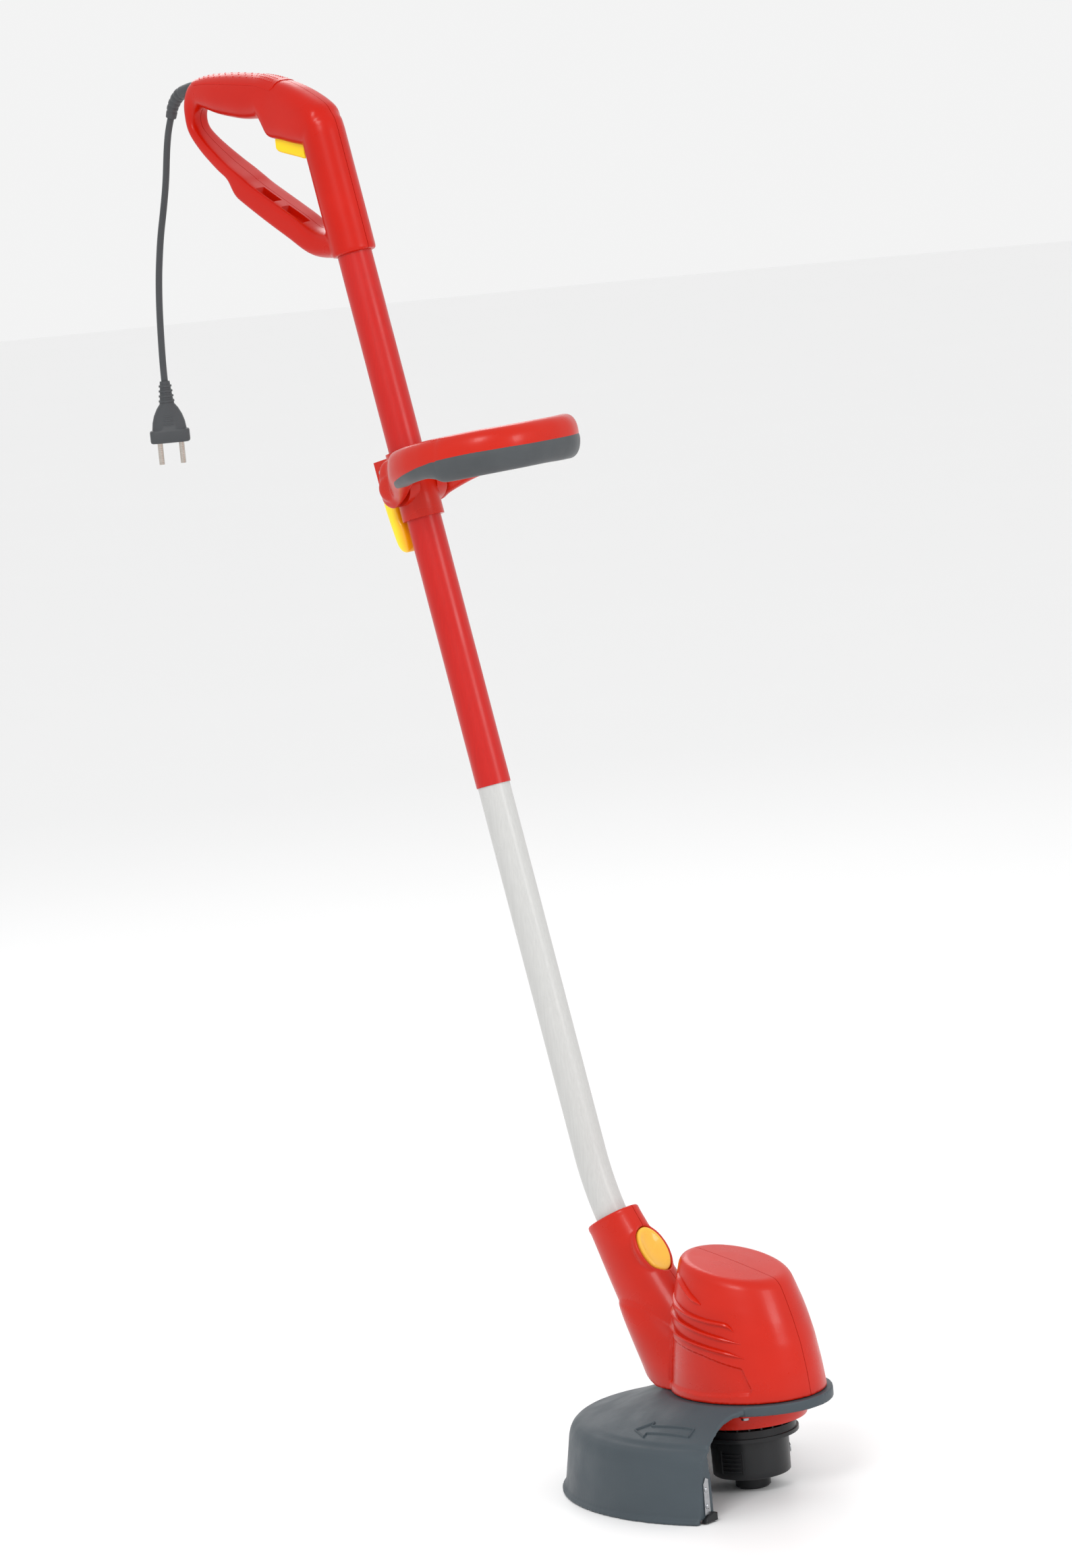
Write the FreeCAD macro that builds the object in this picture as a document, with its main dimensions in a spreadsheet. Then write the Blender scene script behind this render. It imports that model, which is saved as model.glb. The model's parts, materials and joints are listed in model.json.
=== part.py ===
import FreeCAD, Part
import Sketcher
import math
import os

# Electric string trimmer, standing on its guard and its tap button.
# Frame: millimetres, +Z up, +X away from the user, origin on the floor under the spool's axis.

Vector = FreeCAD.Vector
doc = FreeCAD.newDocument("string_trimmer")

# ---------------------------------------------------------------- driving dimensions

SIZES = [
    # shaft
    ("tube_lean", 13.33), ("socket_lean", 26.7), ("bend_x", -151.3), ("bend_z", 246.0), ("bend_radius",
                                                                                         250.0),
    ("lower_tube_radius", 14.0), ("lower_tube_wall", 1.2), ("upper_tube_radius", 15.0), ("upper_tube_wall",
                                                                                         0.9),
    ("tube_junction", 352.0), ("tube_overlap", 85.0), ("socket_top", 30.0), ("socket_depth", 45.0),
    # motor head
    ("head_shift", 4.8), ("base_height", 85.4), ("housing_wall", 2.6), ("base_length", 71.4), ("base_width",
                                                                                               57.5),
    ("neck_length_half", 27.0), ("neck_width_half", 18.4), ("top_slope", 11.7), ("top_height", 193.0),
    ("floor_hole", 48.0), ("boss_radius", 4.0), ("screw_radius", 1.7), ("screw_head", 3.4),
    # guard
    ("guard_length", 156.0), ("guard_width", 127.5), ("guard_shift", -22.5), ("guard_wall", 2.6),
    ("skirt_height", 57.0), ("skirt_draft", 9.0), ("ledge_length", 76.6), ("ledge_width", 62.8),
    ("guard_edge", 46.0), ("guard_hole", 50.5),
    # line head
    ("cap_radius", 32.8), ("cap_bottom", 12.6), ("cap_height", 33.4), ("flange_radius", 42.4),
    ("flange_height", 3.5), ("rib_height", 10.5), ("button_radius", 14.9), ("button_travel", 5.0),
    # motor
    ("shaft_radius", 4.0), ("stator_radius", 33.0), ("stator_bore", 23.0), ("stator_height", 44.0),
    ("rotor_radius", 22.5), ("fan_radius", 43.0), ("bearing_radius", 11.0),
    # front handle
    ("collar_at", 617.5), ("collar_radius", 18.3), ("collar_height", 59.5), ("loop_length_half", 83.0),
    ("loop_width_half", 78.5), ("loop_band", 23.0), ("loop_ahead", 84.5), ("insert_depth", 8.0),
         ("hub_radius", 12.5),
    # handle
    ("column_radius", 19.4), ("grip_width_half", 16.5), ("handle_wall", 2.5), ("handle_foot", 819.0),
    ("column_height", 156.0), ("rear_width_half", 10.0),
    # cord
    ("cord_radius", 3.0), ("pin_radius", 2.4), ("pin_length", 19.0), ("pin_spacing", 19.0),
]


class Size:
    """A length or angle with both its value and the spreadsheet formula that gives it."""

    def __init__(self, value, text):
        self.value = float(value)
        self.text = text

    def _join(self, other, sign, value):
        other_text = other.text if isinstance(other, Size) else repr(float(other))
        return Size(value, "(%s %s %s)" % (self.text, sign, other_text))

    def __add__(self, other):
        return self._join(other, "+", self.value + number(other))

    def __sub__(self, other):
        return self._join(other, "-", self.value - number(other))

    def __mul__(self, other):
        return self._join(other, "*", self.value * number(other))

    def __neg__(self):
        return Size(-self.value, "(0 - %s)" % self.text)


def number(size):
    return size.value if isinstance(size, Size) else float(size)


class Sheet:
    """The driving dimensions by name."""


def make_sheet():
    sheet = doc.addObject("Spreadsheet::Sheet", "Sizes")
    sizes = Sheet()
    for row, (alias, value) in enumerate(SIZES, 1):
        sheet.set("A%d" % row, alias)
        sheet.set("B%d" % row, str(value))
        sheet.setAlias("B%d" % row, alias)
        setattr(sizes, alias, Size(value, "Sizes." + alias))
    doc.recompute()
    return sizes


S = make_sheet()


def bind(obj, prop, size):
    """Set a property and tie it to the sheet where it comes from there."""
    if prop in obj.PropertiesList:
        setattr(obj, prop, number(size))
    if isinstance(size, Size):
        obj.setExpression(prop, size.text)


# ---------------------------------------------------------------- places

Y_AXIS = Vector(0, 1, 0)
IDENTITY = FreeCAD.Placement()


def at(x=0.0, y=0.0, z=0.0, axis=Vector(0, 0, 1), turn=0.0):
    return FreeCAD.Placement(Vector(number(x), number(y), number(z)), FreeCAD.Rotation(axis, turn))


def leaning(lean):
    """Rotation that tips local Z back towards the user by the given angle."""
    return FreeCAD.Rotation(Y_AXIS, -number(lean))


BEND = Vector(S.bend_x.value, 0, S.bend_z.value)
TUBE_TURN = leaning(S.tube_lean)
SOCKET_TURN = leaning(S.socket_lean)
ALONG_Y = FreeCAD.Rotation(Vector(1, 0, 0), -90)


def on_tube(distance=0.0, forward=0.0, side=0.0):
    """Place on the straight tube: distance up from the bend, forward of its axis."""
    offset = TUBE_TURN.multVec(Vector(number(forward), number(side), number(distance)))
    return FreeCAD.Placement(BEND + offset, TUBE_TURN)


def on_socket(distance=0.0, forward=0.0, side=0.0):
    """Place on the socket's axis: distance down from the bend, forward of the axis."""
    offset = SOCKET_TURN.multVec(Vector(number(forward), number(side), -number(distance)))
    return FreeCAD.Placement(BEND + offset, SOCKET_TURN)


# ---------------------------------------------------------------- building blocks

def cylinder(name, radius, height, place=IDENTITY):
    obj = doc.addObject("Part::Cylinder", name)
    bind(obj, "Radius", radius)
    bind(obj, "Height", height)
    obj.Placement = place
    return obj


def cylinder_y(name, radius, start, length, x, z):
    """Cylinder along +Y from y = start."""
    obj = cylinder(name, radius, length)
    obj.Placement = FreeCAD.Placement(Vector(x, start, z), ALONG_Y)
    return obj


def cone(name, lower, upper, height, place=IDENTITY):
    obj = doc.addObject("Part::Cone", name)
    bind(obj, "Radius1", lower)
    bind(obj, "Radius2", upper)
    bind(obj, "Height", height)
    obj.Placement = place
    return obj


def box(name, length, width, height, place=IDENTITY, centred=True):
    """Box with its sizes along X, Y, Z, centred on X and Y when asked."""
    obj = doc.addObject("Part::Box", name)
    bind(obj, "Length", length)
    bind(obj, "Width", width)
    bind(obj, "Height", height)
    shift = Vector(-number(length) / 2, -number(width) / 2, 0) if centred else Vector()
    obj.Placement = place.multiply(FreeCAD.Placement(shift, FreeCAD.Rotation()))
    return obj


def half_space(name, side):
    """Large box on one side of the middle plane, side +1 for left and -1 for right."""
    reach = 1500.0
    obj = doc.addObject("Part::Box", name)
    obj.Length = 2 * reach
    obj.Width = reach
    obj.Height = 2 * reach
    obj.Placement = at(-reach, 0.0 if side > 0 else -reach, -reach / 2)
    return obj


def cut(name, base, tool):
    obj = doc.addObject("Part::Cut", name)
    obj.Base = base
    obj.Tool = tool
    return obj


def cut_all(name, base, tools):
    return cut(name, base, fuse(name + "_tools", tools) if len(tools) > 1 else tools[0])


def fuse(name, shapes):
    obj = doc.addObject("Part::MultiFuse", name)
    obj.Shapes = shapes
    return obj


def common(name, base, tool):
    obj = doc.addObject("Part::Common", name)
    obj.Base = base
    obj.Tool = tool
    return obj


def group(name, shapes):
    obj = doc.addObject("Part::Compound", name)
    obj.Links = shapes
    return obj


def ring(name, outer, inner, height, place=IDENTITY):
    solid = cylinder(name + "_outer", outer, height, place)
    hole = cylinder(name + "_inner", inner, number(height) + 2, place.multiply(at(0, 0, -1)))
    return cut(name, solid, hole)


def ellipse(name, forward, across, place):
    """Ellipse in the local XY plane, longer along X."""
    obj = doc.addObject("Part::Ellipse", name)
    bind(obj, "MajorRadius", forward)
    bind(obj, "MinorRadius", across)
    obj.Placement = place
    return obj


def loft(name, sections, ruled=False):
    obj = doc.addObject("Part::Loft", name)
    obj.Sections = sections
    obj.Solid = True
    obj.Ruled = ruled
    return obj


def origin_plane(body, role):
    return next(item for item in body.Origin.OriginFeatures if item.Role == role)


def sketch_on(body, name, role):
    sketch = body.newObject("Sketcher::SketchObject", name)
    sketch.AttachmentSupport = [(origin_plane(body, role), "")]
    sketch.MapMode = "FlatFace"
    return sketch


def add_outline(sketch, stretches):
    """Closed outline: each stretch is a list of points, straight for two and a smooth curve for more."""
    for points in stretches:
        flat = [Vector(x, y, 0) for x, y in points]
        if len(flat) == 2:
            sketch.addGeometry(Part.LineSegment(*flat))
        else:
            curve = Part.BSplineCurve()
            curve.interpolate(flat)
            sketch.addGeometry(curve)


def polygon(corners):
    """Straight stretches round a list of corners."""
    return [[corners[i], corners[(i + 1) % len(corners)]] for i in range(len(corners))]


def slab(name, stretches, width, side=0.0):
    """Plate with an outline in XZ and the given width along Y, centred on y = side."""
    body = doc.addObject("PartDesign::Body", name)
    sketch = sketch_on(body, name + "_outline", "XZ_Plane")
    add_outline(sketch, stretches)
    pad = body.newObject("PartDesign::Pad", name + "_pad")
    pad.Profile = sketch
    bind(pad, "Length", width)
    pad.Midplane = True
    body.Placement = at(0, side, 0)
    return body


def constrained_profile(sketch, corners):
    """Closed polygon whose corners are held by distances from the origin that come from the sheet."""
    points = [(number(x), number(y)) for x, y in corners]
    for stretch in polygon(points):
        sketch.addGeometry(Part.LineSegment(*[Vector(x, y, 0) for x, y in stretch]))
    count = len(corners)
    for index in range(count):
        sketch.addConstraint(Sketcher.Constraint("Coincident", index, 2, (index + 1) % count, 1))
    for index, (x, y) in enumerate(corners):
        for kind, size in (("DistanceX", x), ("DistanceY", y)):
            value = number(size)
            if abs(value) < 1e-9:
                flat = "PointOnObject"
                line = -2 if kind == "DistanceX" else -1
                sketch.addConstraint(Sketcher.Constraint(flat, index, 1, line))
                continue
            place = sketch.addConstraint(Sketcher.Constraint(kind, -1, 1, index, 1, value))
            if isinstance(size, Size):
                sketch.setExpression("Constraints[%d]" % place, size.text)


def turned(name, corners, place=IDENTITY):
    """Revolved solid from a half section of (radius, height) corners."""
    body = doc.addObject("PartDesign::Body", name)
    sketch = sketch_on(body, name + "_section", "XZ_Plane")
    constrained_profile(sketch, corners)
    spin = body.newObject("PartDesign::Revolution", name + "_turn")
    spin.Profile = sketch
    spin.ReferenceAxis = (sketch, ["V_Axis"])
    spin.Angle = 360.0
    body.Placement = place
    return body


nodes = []


def finish(obj, label):
    obj.Label = label
    nodes.append(obj)
    return obj


# ---------------------------------------------------------------- motor head housing

# Dome sections: height, front reach, rear reach, half width; the first one is the base.
DOME = [(108.0, 73.5, 65.0, 55.2), (130.0, 69.2, 62.5, 52.8), (150.0, 63.0, 59.5, 50.2),
        (168.0, 56.0, 56.0, 46.8), (186.0, 48.0, 52.0, 42.0), (212.0, 34.0, 45.0, 33.0)]
# Neck sections down the socket's axis: distance from the bend, front reach, rear reach, half width.
NECK = [(30.0, 27.0, 26.5, 18.4), (44.0, 29.0, 26.5, 19.0), (80.0, 34.5, 26.5, 21.5),
        (120.0, 44.0, 26.0, 24.0), (185.0, 60.0, 24.0, 26.0)]
HOUSING_FLOOR = 3.0
NECK_HEEL = -70.0
NECK_UNDERCUT = 17.0
# Screws that hold the halves together: x, z, half width of the shell there.
HOUSING_SCREWS = [(54.0, 104.0, 37.5), (-54.0, 104.0, 28.5), (-116.5, 145.7, 18.0)]
FLOOR_SCREWS = [(38.0, 42.0), (-38.0, 42.0), (38.0, -42.0), (-38.0, -42.0)]
OVAL_CENTRE = Vector(-91.0, 0, 196.0)
OVAL_TURN = FreeCAD.Rotation(Y_AXIS, 56.0)


def dome(name, inset):
    """Egg-shaped dome; inset moves its wall inwards."""
    base = ellipse(name + "_base", S.base_length - inset, S.base_width - inset,
                   at(S.head_shift, 0, S.base_height))
    sections = [base]
    for height, front, rear, width in DOME:
        place = at((front - rear) / 2, 0, height)
        sections.append(ellipse("%s_%d" % (name, height), (front + rear) / 2 - inset, width - inset, place))
    return loft(name, sections)


def neck(name, inset, start=0.0):
    sections = []
    for distance, front, rear, width in NECK:
        place = on_socket(distance + start, (front - rear) / 2)
        sections.append(ellipse("%s_%d" % (name, distance), (front + rear) / 2 - inset, width - inset,
                                place))
    return loft(name, sections)


def top_cutter(name, drop):
    """Box above the sloping top face, lowered by the given amount."""
    place = FreeCAD.Placement(Vector(0, 0, S.top_height.value - drop),
                              FreeCAD.Rotation(Y_AXIS, S.top_slope.value))
    return box(name, 400, 200, 60, place)


def oval(name, long_half, wide_half, depth, lift):
    """Oval prism on the button's own axis, its outer face lifted above the button's plane."""
    place = FreeCAD.Placement(OVAL_CENTRE, OVAL_TURN).multiply(at(0, 0, lift - depth))
    outline = ellipse(name + "_outline", long_half, wide_half, place)
    prism = doc.addObject("Part::Extrusion", name)
    prism.Base = outline
    prism.DirMode = "Custom"
    prism.Dir = OVAL_TURN.multVec(Vector(0, 0, 1))
    prism.LengthFwd = depth
    prism.Solid = True
    return prism


def trimmed(name, shape, drop, floor):
    """Dome cut by the sloping top and by the flat bottom."""
    below = box(name + "_below", 600, 400, 200, at(0, 0, floor - 200))
    return cut_all(name, shape, [top_cutter(name + "_above", drop), below])


def motor_housing():
    """Two half shells: dome, neck and socket, with a floor, screw bosses and the button's seat."""
    wall = S.housing_wall
    base = S.base_height.value
    outer_dome = trimmed("dome_outer_cut", dome("dome_outer", 0.0), 0.0, base)
    inner_dome = trimmed("dome_inner_cut", dome("dome_inner", wall.value), wall.value, base + HOUSING_FLOOR)
    under = FreeCAD.Placement(Vector(NECK_HEEL, 0, base), FreeCAD.Rotation(Y_AXIS, NECK_UNDERCUT))
    outer_neck = cut_all("neck_outer_cut", neck("neck_outer", 0.0),
                         [box("neck_below", 600, 400, 200, at(0, 0, base - 200)),
                          box("neck_heel", 300, 400, 100, under.multiply(at(-150, 0, -100)))])
    inner_neck = cut("neck_inner_cut", neck("neck_inner", 3.0, 48.0),
                     box("neck_inner_below", 600, 400, 200, at(0, 0, base + HOUSING_FLOOR - 200)))
    outer = fuse("housing_outer", [outer_dome, outer_neck])
    bore = cylinder("socket_bore", S.lower_tube_radius + 0.15, 50.0, on_socket(S.socket_top.value + 49.0))
    opening = cylinder("floor_opening", S.floor_hole, 10.0, at(0, 0, base - 5))
    pocket = oval("button_pocket", 21.9, 14.4, 14.0, 4.0)
    shell = cut_all("housing_shell", outer, [inner_dome, inner_neck, opening])
    seated = fuse("housing_seated", [shell, oval("button_seat", 24.0, 16.0, 9.5, -2.5)])
    hollow = cut_all("housing_hollow", seated, [bore, pocket])
    bosses = [cylinder("floor_boss_%d" % i, S.boss_radius, 12.0, at(x, y, base))
              for i, (x, y) in enumerate(FLOOR_SCREWS)]
    bosses += [cylinder_y("side_boss_%d" % i, S.boss_radius, -half, 2 * half, x, z)
               for i, (x, z, half) in enumerate(HOUSING_SCREWS)]
    filled = fuse("housing_filled", [hollow] + bosses)
    holes = [cylinder("floor_screw_hole_%d" % i, S.screw_radius, 14.0, at(x, y, base - 4))
             for i, (x, y) in enumerate(FLOOR_SCREWS)]
    for i, (x, z, half) in enumerate(HOUSING_SCREWS):
        holes.append(cylinder_y("side_screw_hole_%d" % i, S.screw_radius, -half + 6, 2 * half, x, z))
        holes.append(cylinder_y("side_head_hole_%d" % i, S.screw_head + 0.2, half - 6, 40.0, x, z))
    whole = cut_all("housing_whole", filled, holes)
    for side, label in ((1, "motor_housing_left"), (-1, "motor_housing_right")):
        finish(common(label, whole, half_space(label + "_side", side)), label)


def pan_screw(name, radius, head, length, place, head_height=2.4):
    """Screw along local +Z with its head below the shank."""
    shank = cylinder(name + "_shank", radius, length, place)
    top = cylinder(name + "_head", head, head_height, place.multiply(at(0, 0, -head_height)))
    drive = box(name + "_drive", 1.0, number(head) * 1.3, 1.2, place.multiply(at(0, 0, -head_height)))
    return cut(name, fuse(name + "_solid", [shank, top]), drive)


def housing_screws():
    screws = []
    for i, (x, z, half) in enumerate(HOUSING_SCREWS):
        place = FreeCAD.Placement(Vector(x, half - 6, z), FreeCAD.Rotation(Vector(1, 0, 0), 90))
        screws.append(pan_screw("housing_screw_%d" % i, S.screw_radius, S.screw_head, 2 * half - 14, place))
    finish(group("housing_screws", screws), "housing_screws")


def head_button():
    """Oval release button with a thumb dimple, and the spring behind it."""
    body = oval("button_body", 21.4, 13.9, 6.0, 0.0)
    dimple_place = FreeCAD.Placement(OVAL_CENTRE, OVAL_TURN).multiply(at(0, 0, 36.5))
    dimple = doc.addObject("Part::Sphere", "button_dimple")
    dimple.Radius = 38.5
    dimple.Placement = dimple_place
    finish(cut("head_release_button", body, dimple), "head_release_button")
    coil(on_oval(-9.95), 5.0, 0.6, 3.9, 2, "release_spring")


def on_oval(lift):
    return FreeCAD.Placement(OVAL_CENTRE, OVAL_TURN).multiply(at(0, 0, lift))


def coil(place, radius, wire, height, turns, label):
    """Compression spring of round wire standing on its place."""
    pitch = (height - 2 * wire) / turns
    helix = Part.makeHelix(pitch, pitch * turns, radius)
    start = Vector(radius, 0, 0)
    section = Part.Wire([Part.Circle(start, Vector(0, 1, 0.1), wire).toShape()])
    solid = helix.makePipeShell([section], True, True)
    spring = doc.addObject("Part::Feature", label)
    spring.Shape = solid
    spring.Placement = place.multiply(at(0, 0, wire))
    return finish(spring, label)


# ---------------------------------------------------------------- guard

def bell(name, inset):
    """Oval bell of the guard: drafted skirt, then a gently rising top up to the ledge."""
    rim = S.guard_shift
    skirt = loft(name + "_skirt", [
        ellipse(name + "_rim", S.guard_length - inset, S.guard_width - inset, at(rim, 0,
                                                                                 -2.0 if inset else 0)),
        ellipse(name + "_shoulder", S.guard_length - S.skirt_draft - inset,
                S.guard_width - S.skirt_draft - inset, at(rim, 0, S.skirt_height - inset))], True)
    crown = loft(name + "_crown", [
        ellipse(name + "_edge", S.guard_length - S.skirt_draft - inset,
                S.guard_width - S.skirt_draft - inset, at(rim, 0, S.skirt_height - inset)),
        ellipse(name + "_ledge", S.ledge_length, S.ledge_width, at(S.head_shift, 0,
                                                                   S.base_height - inset))], True)
    return fuse(name, [skirt, crown])


def guard():
    """Skirted guard open at the front, with a ledge round the head and an end flange for the cutter."""
    base = S.base_height
    shell = cut("guard_shell", bell("bell_outer", 0.0), bell("bell_inner", S.guard_wall.value))
    edge = S.guard_edge.value
    reach = 200.0
    front = slab_z("guard_front", [(edge, -reach), (edge, -58.0), (-45.0, 40.0), (-126.0, reach),
                                   (reach, reach),
                                   (reach, -reach)], -5.0, 100.0)
    open_shell = cut("guard_open", shell, front)
    ledge = extruded_ellipse("guard_ledge", S.ledge_length, S.ledge_width, S.head_shift, base - 9.0, 9.0)
    flange = slab_x("guard_end_flange", [(-111.5, 5.0), (-104.3, 50.0), (-101.0, 50.0), (-101.0, 5.0)],
                    edge - 2.6, 2.6)
    lip_outer = extruded_ellipse("guard_lip_outer", S.guard_length + 2.6, S.guard_width + 2.6,
                                 S.guard_shift, 0.0, 3.2)
    lip_inner = extruded_ellipse("guard_lip_inner", S.guard_length - 2.2, S.guard_width - 2.2,
                                 S.guard_shift,
                                 -1.0, 8.0)
    lip = cut("guard_lip_ring", lip_outer, lip_inner)
    lip_open = cut("guard_lip", lip, front)
    solid = fuse("guard_solid", [open_shell, ledge, flange, lip_open])
    tools = [cylinder("guard_opening", S.guard_hole, 60.0, at(0, 0, 50))]
    tools += [cylinder("guard_screw_hole_%d" % i, S.screw_radius + 0.2, 30.0, at(x, y, 65))
              for i, (x, y) in enumerate(FLOOR_SCREWS)]
    tools += [cylinder("blade_rivet_hole_%d" % i, 1.7, 10.0, along_x(edge - 6, BLADE_ROW, z))
              for i, z in enumerate(BLADE_SCREWS)]
    finish(cut_all("guard", solid, tools), "guard")


BLADE_ROW = -104.6
BLADE_SCREWS = (14.0, 28.0)


def along_x(x, y, z):
    return FreeCAD.Placement(Vector(x, y, z), FreeCAD.Rotation(Y_AXIS, 90))


def extruded_ellipse(name, forward, across, x, z, height):
    outline = ellipse(name + "_outline", forward, across, at(x, 0, z))
    prism = doc.addObject("Part::Extrusion", name)
    prism.Base = outline
    prism.DirMode = "Custom"
    prism.Dir = Vector(0, 0, 1)
    prism.LengthFwd = height
    prism.Solid = True
    return prism


def slab_x(name, corners, start, length):
    """Plate with a polygon outline in YZ."""
    body = doc.addObject("PartDesign::Body", name)
    sketch = sketch_on(body, name + "_outline", "YZ_Plane")
    add_outline(sketch, polygon(corners))
    pad = body.newObject("PartDesign::Pad", name + "_pad")
    pad.Profile = sketch
    bind(pad, "Length", length)
    body.Placement = at(start, 0, 0)
    return body


def slab_z(name, corners, bottom, height):
    """Plate with a polygon outline in XY."""
    body = doc.addObject("PartDesign::Body", name)
    sketch = sketch_on(body, name + "_outline", "XY_Plane")
    add_outline(sketch, polygon(corners))
    pad = body.newObject("PartDesign::Pad", name + "_pad")
    pad.Profile = sketch
    bind(pad, "Length", height)
    body.Placement = at(0, 0, bottom)
    return body


def line_cutter():
    """Thin steel blade on the guard's end flange, held by two screws."""
    edge = S.guard_edge.value
    corners = [(-109.0, 9.0), (-96.0, 7.0), (-96.0, 30.0), (-99.0, 33.0), (-109.0, 33.0)]
    body = slab_x("blade_plate", corners, edge, 1.2)
    holes = [cylinder("blade_hole_%d" % i, 1.7, 10.0, along_x(edge - 4, BLADE_ROW, z))
             for i, z in enumerate(BLADE_SCREWS)]
    finish(cut_all("line_cutter_blade", body, holes), "line_cutter_blade")
    screws = []
    for i, z in enumerate(BLADE_SCREWS):
        place = FreeCAD.Placement(Vector(edge + 1.2, BLADE_ROW, z), FreeCAD.Rotation(Y_AXIS, -90))
        screws.append(pan_screw("blade_screw_%d" % i, 1.7, 3.0, 5.0, place, 1.6))
    finish(group("blade_screws", screws), "blade_screws")


def bottom_cover():
    """Red cover under the guard, tapering down to the line head."""
    base = S.base_height.value
    top = base - 9.0
    profile = [(8.0, 61.0), (50.6, 61.0), (56.0, top), (51.5, top), (47.6, 64.0), (8.0, 64.0)]
    cup = turned("cover_cup", profile)
    ears = [cylinder("cover_ear_%d" % i, 5.2, 3.0, at(x, y, top - 3.0)) for i,
            (x, y) in enumerate(FLOOR_SCREWS)]
    inside = cone("cover_inside", 47.6, 51.5, top - 64.0, at(0, 0, 64.0))
    holes = [cylinder("cover_hole_%d" % i, S.screw_radius + 0.2, 12.0, at(x, y, top - 8))
             for i, (x, y) in enumerate(FLOOR_SCREWS)]
    heads = [cylinder("cover_head_hole_%d" % i, S.screw_head + 0.3, 20.0, at(x, y, top - 23.0))
             for i, (x, y) in enumerate(FLOOR_SCREWS)]
    finish(cut_all("bottom_cover", fuse("cover_solid", [cup] + ears), [inside] + holes + heads),
           "bottom_cover")
    screws = [pan_screw("guard_screw_%d" % i, S.screw_radius, S.screw_head, 20.0, at(x, y, top - 3.0))
              for i, (x, y) in enumerate(FLOOR_SCREWS)]
    finish(group("guard_screws", screws), "guard_screws")


# ---------------------------------------------------------------- motor

MOTOR_FLOOR = 94.0


def motor():
    """Universal motor standing in the dome, its shaft down to the line head."""
    bottom = MOTOR_FLOOR + 8.0
    height = S.stator_height
    core = ring("stator_ring", S.stator_radius, S.stator_bore, height, at(0, 0, bottom))
    finish(core, "stator_core")
    coils = []
    for side in (-1, 1):
        block = box("coil_block_%d" % side, 13.0, 34.0, 7.0, at(side * 26.0, 0, bottom + height.value))
        lower = box("coil_lower_%d" % side, 13.0, 34.0, 7.0, at(side * 26.0, 0, bottom - 7.0))
        coils += [block, lower]
    finish(group("field_coils", coils), "field_coils")
    plate = ring("lower_plate", 52.0, S.bearing_radius, 4.0, at(0, 0, MOTOR_FLOOR - 5.6))
    posts = [box("lower_post_%d" % side, 10.0, 8.0, 10.0, at(0, side * 28.0, MOTOR_FLOOR - 2.0))
             for side in (-1, 1)]
    finish(fuse("lower_motor_bracket", [plate] + posts), "lower_motor_bracket")
    top = bottom + height.value + 18.0
    bridge = box("upper_bridge", 16.0, 72.0, 4.0, at(0, 0, top))
    legs = [box("upper_leg_%d" % side, 16.0, 5.0, 22.0, at(0, side * 33.5, top - 18.0)) for side in (-1, 1)]
    hub = cylinder("upper_hub", S.bearing_radius + 2.5, 8.0, at(0, 0, top - 2.0))
    seat = cylinder("upper_seat", S.bearing_radius, 20.0, at(0, 0, top - 6.0))
    finish(cut("upper_motor_bracket", fuse("upper_solid", [bridge, hub] + legs), seat),
           "upper_motor_bracket")
    bearing_inner = S.shaft_radius + 0.02
    finish(ring("lower_bearing", S.bearing_radius, bearing_inner, 5.0, at(0, 0, MOTOR_FLOOR - 6.2)),
           "lower_bearing")
    finish(ring("upper_bearing", S.bearing_radius, bearing_inner, 5.0, at(0, 0, top - 0.5)),
           "upper_bearing")
    motor_rotor(bottom, height.value, top)
    motor_brushes(top - 11.0)


def motor_rotor(bottom, height, top):
    shaft = cylinder("shaft_solid", S.shaft_radius, top + 6.0 - 44.0, at(0, 0, 44.0))
    finish(shaft, "motor_shaft")
    core = ring("rotor_ring", S.rotor_radius, S.shaft_radius, height - 2.0, at(0, 0, bottom + 1.0))
    slots = []
    for i in range(12):
        place = at(0, 0, bottom, Vector(0, 0, 1), 30.0 * i)
        slots.append(box("rotor_slot_%d" % i, 3.0, 1.8, height + 4.0, place.multiply(at(21.6, 0, -1.0))))
    finish(cut_all("armature", core, slots), "armature")
    finish(ring("commutator", 11.0, S.shaft_radius, 13.0, at(0, 0, bottom + height + 2.0)), "commutator")
    hub = ring("fan_hub", 9.0, S.shaft_radius, 12.0, at(0, 0, 68.0))
    disc = ring("fan_disc", S.fan_radius, 8.0, 1.6, at(0, 0, 68.0))
    blades = []
    for i in range(11):
        place = at(0, 0, 69.0, Vector(0, 0, 1), 360.0 / 11 * i)
        blades.append(box("fan_blade_%d" % i, 30.0, 1.4, 11.0, place.multiply(at(25.5, 0, 0))))
    finish(fuse("cooling_fan", [hub, disc] + blades), "cooling_fan")


def motor_brushes(height):
    holders = []
    brushes = []
    for side in (-1, 1):
        sleeve = box("holder_%d" % side, 9.0, 17.2, 9.0, at(0, side * 22.4, height - 4.5))
        space = box("holder_space_%d" % side, 5.2, 20.0, 5.2, at(0, side * 22.3, height - 2.6))
        holders.append(cut("brush_holder_%d" % side, sleeve, space))
        brushes.append(box("brush_%d" % side, 5.0, 11.0, 5.0, at(0, side * 16.7, height - 2.5)))
    finish(group("brush_holders", holders), "brush_holders")
    finish(group("carbon_brushes", brushes), "carbon_brushes")


# ---------------------------------------------------------------- line head

EYELET_TURN = math.radians(60.0)
EYELET_HEIGHT = 28.0


def eyelet_place(reach):
    """Point on the line's way out, reach from the axis, with Z pointing outwards."""
    out = Vector(math.cos(EYELET_TURN), math.sin(EYELET_TURN), 0)
    return at(out.x * reach, out.y * reach, EYELET_HEIGHT, Vector(-out.y, out.x, 0), 90)


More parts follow.
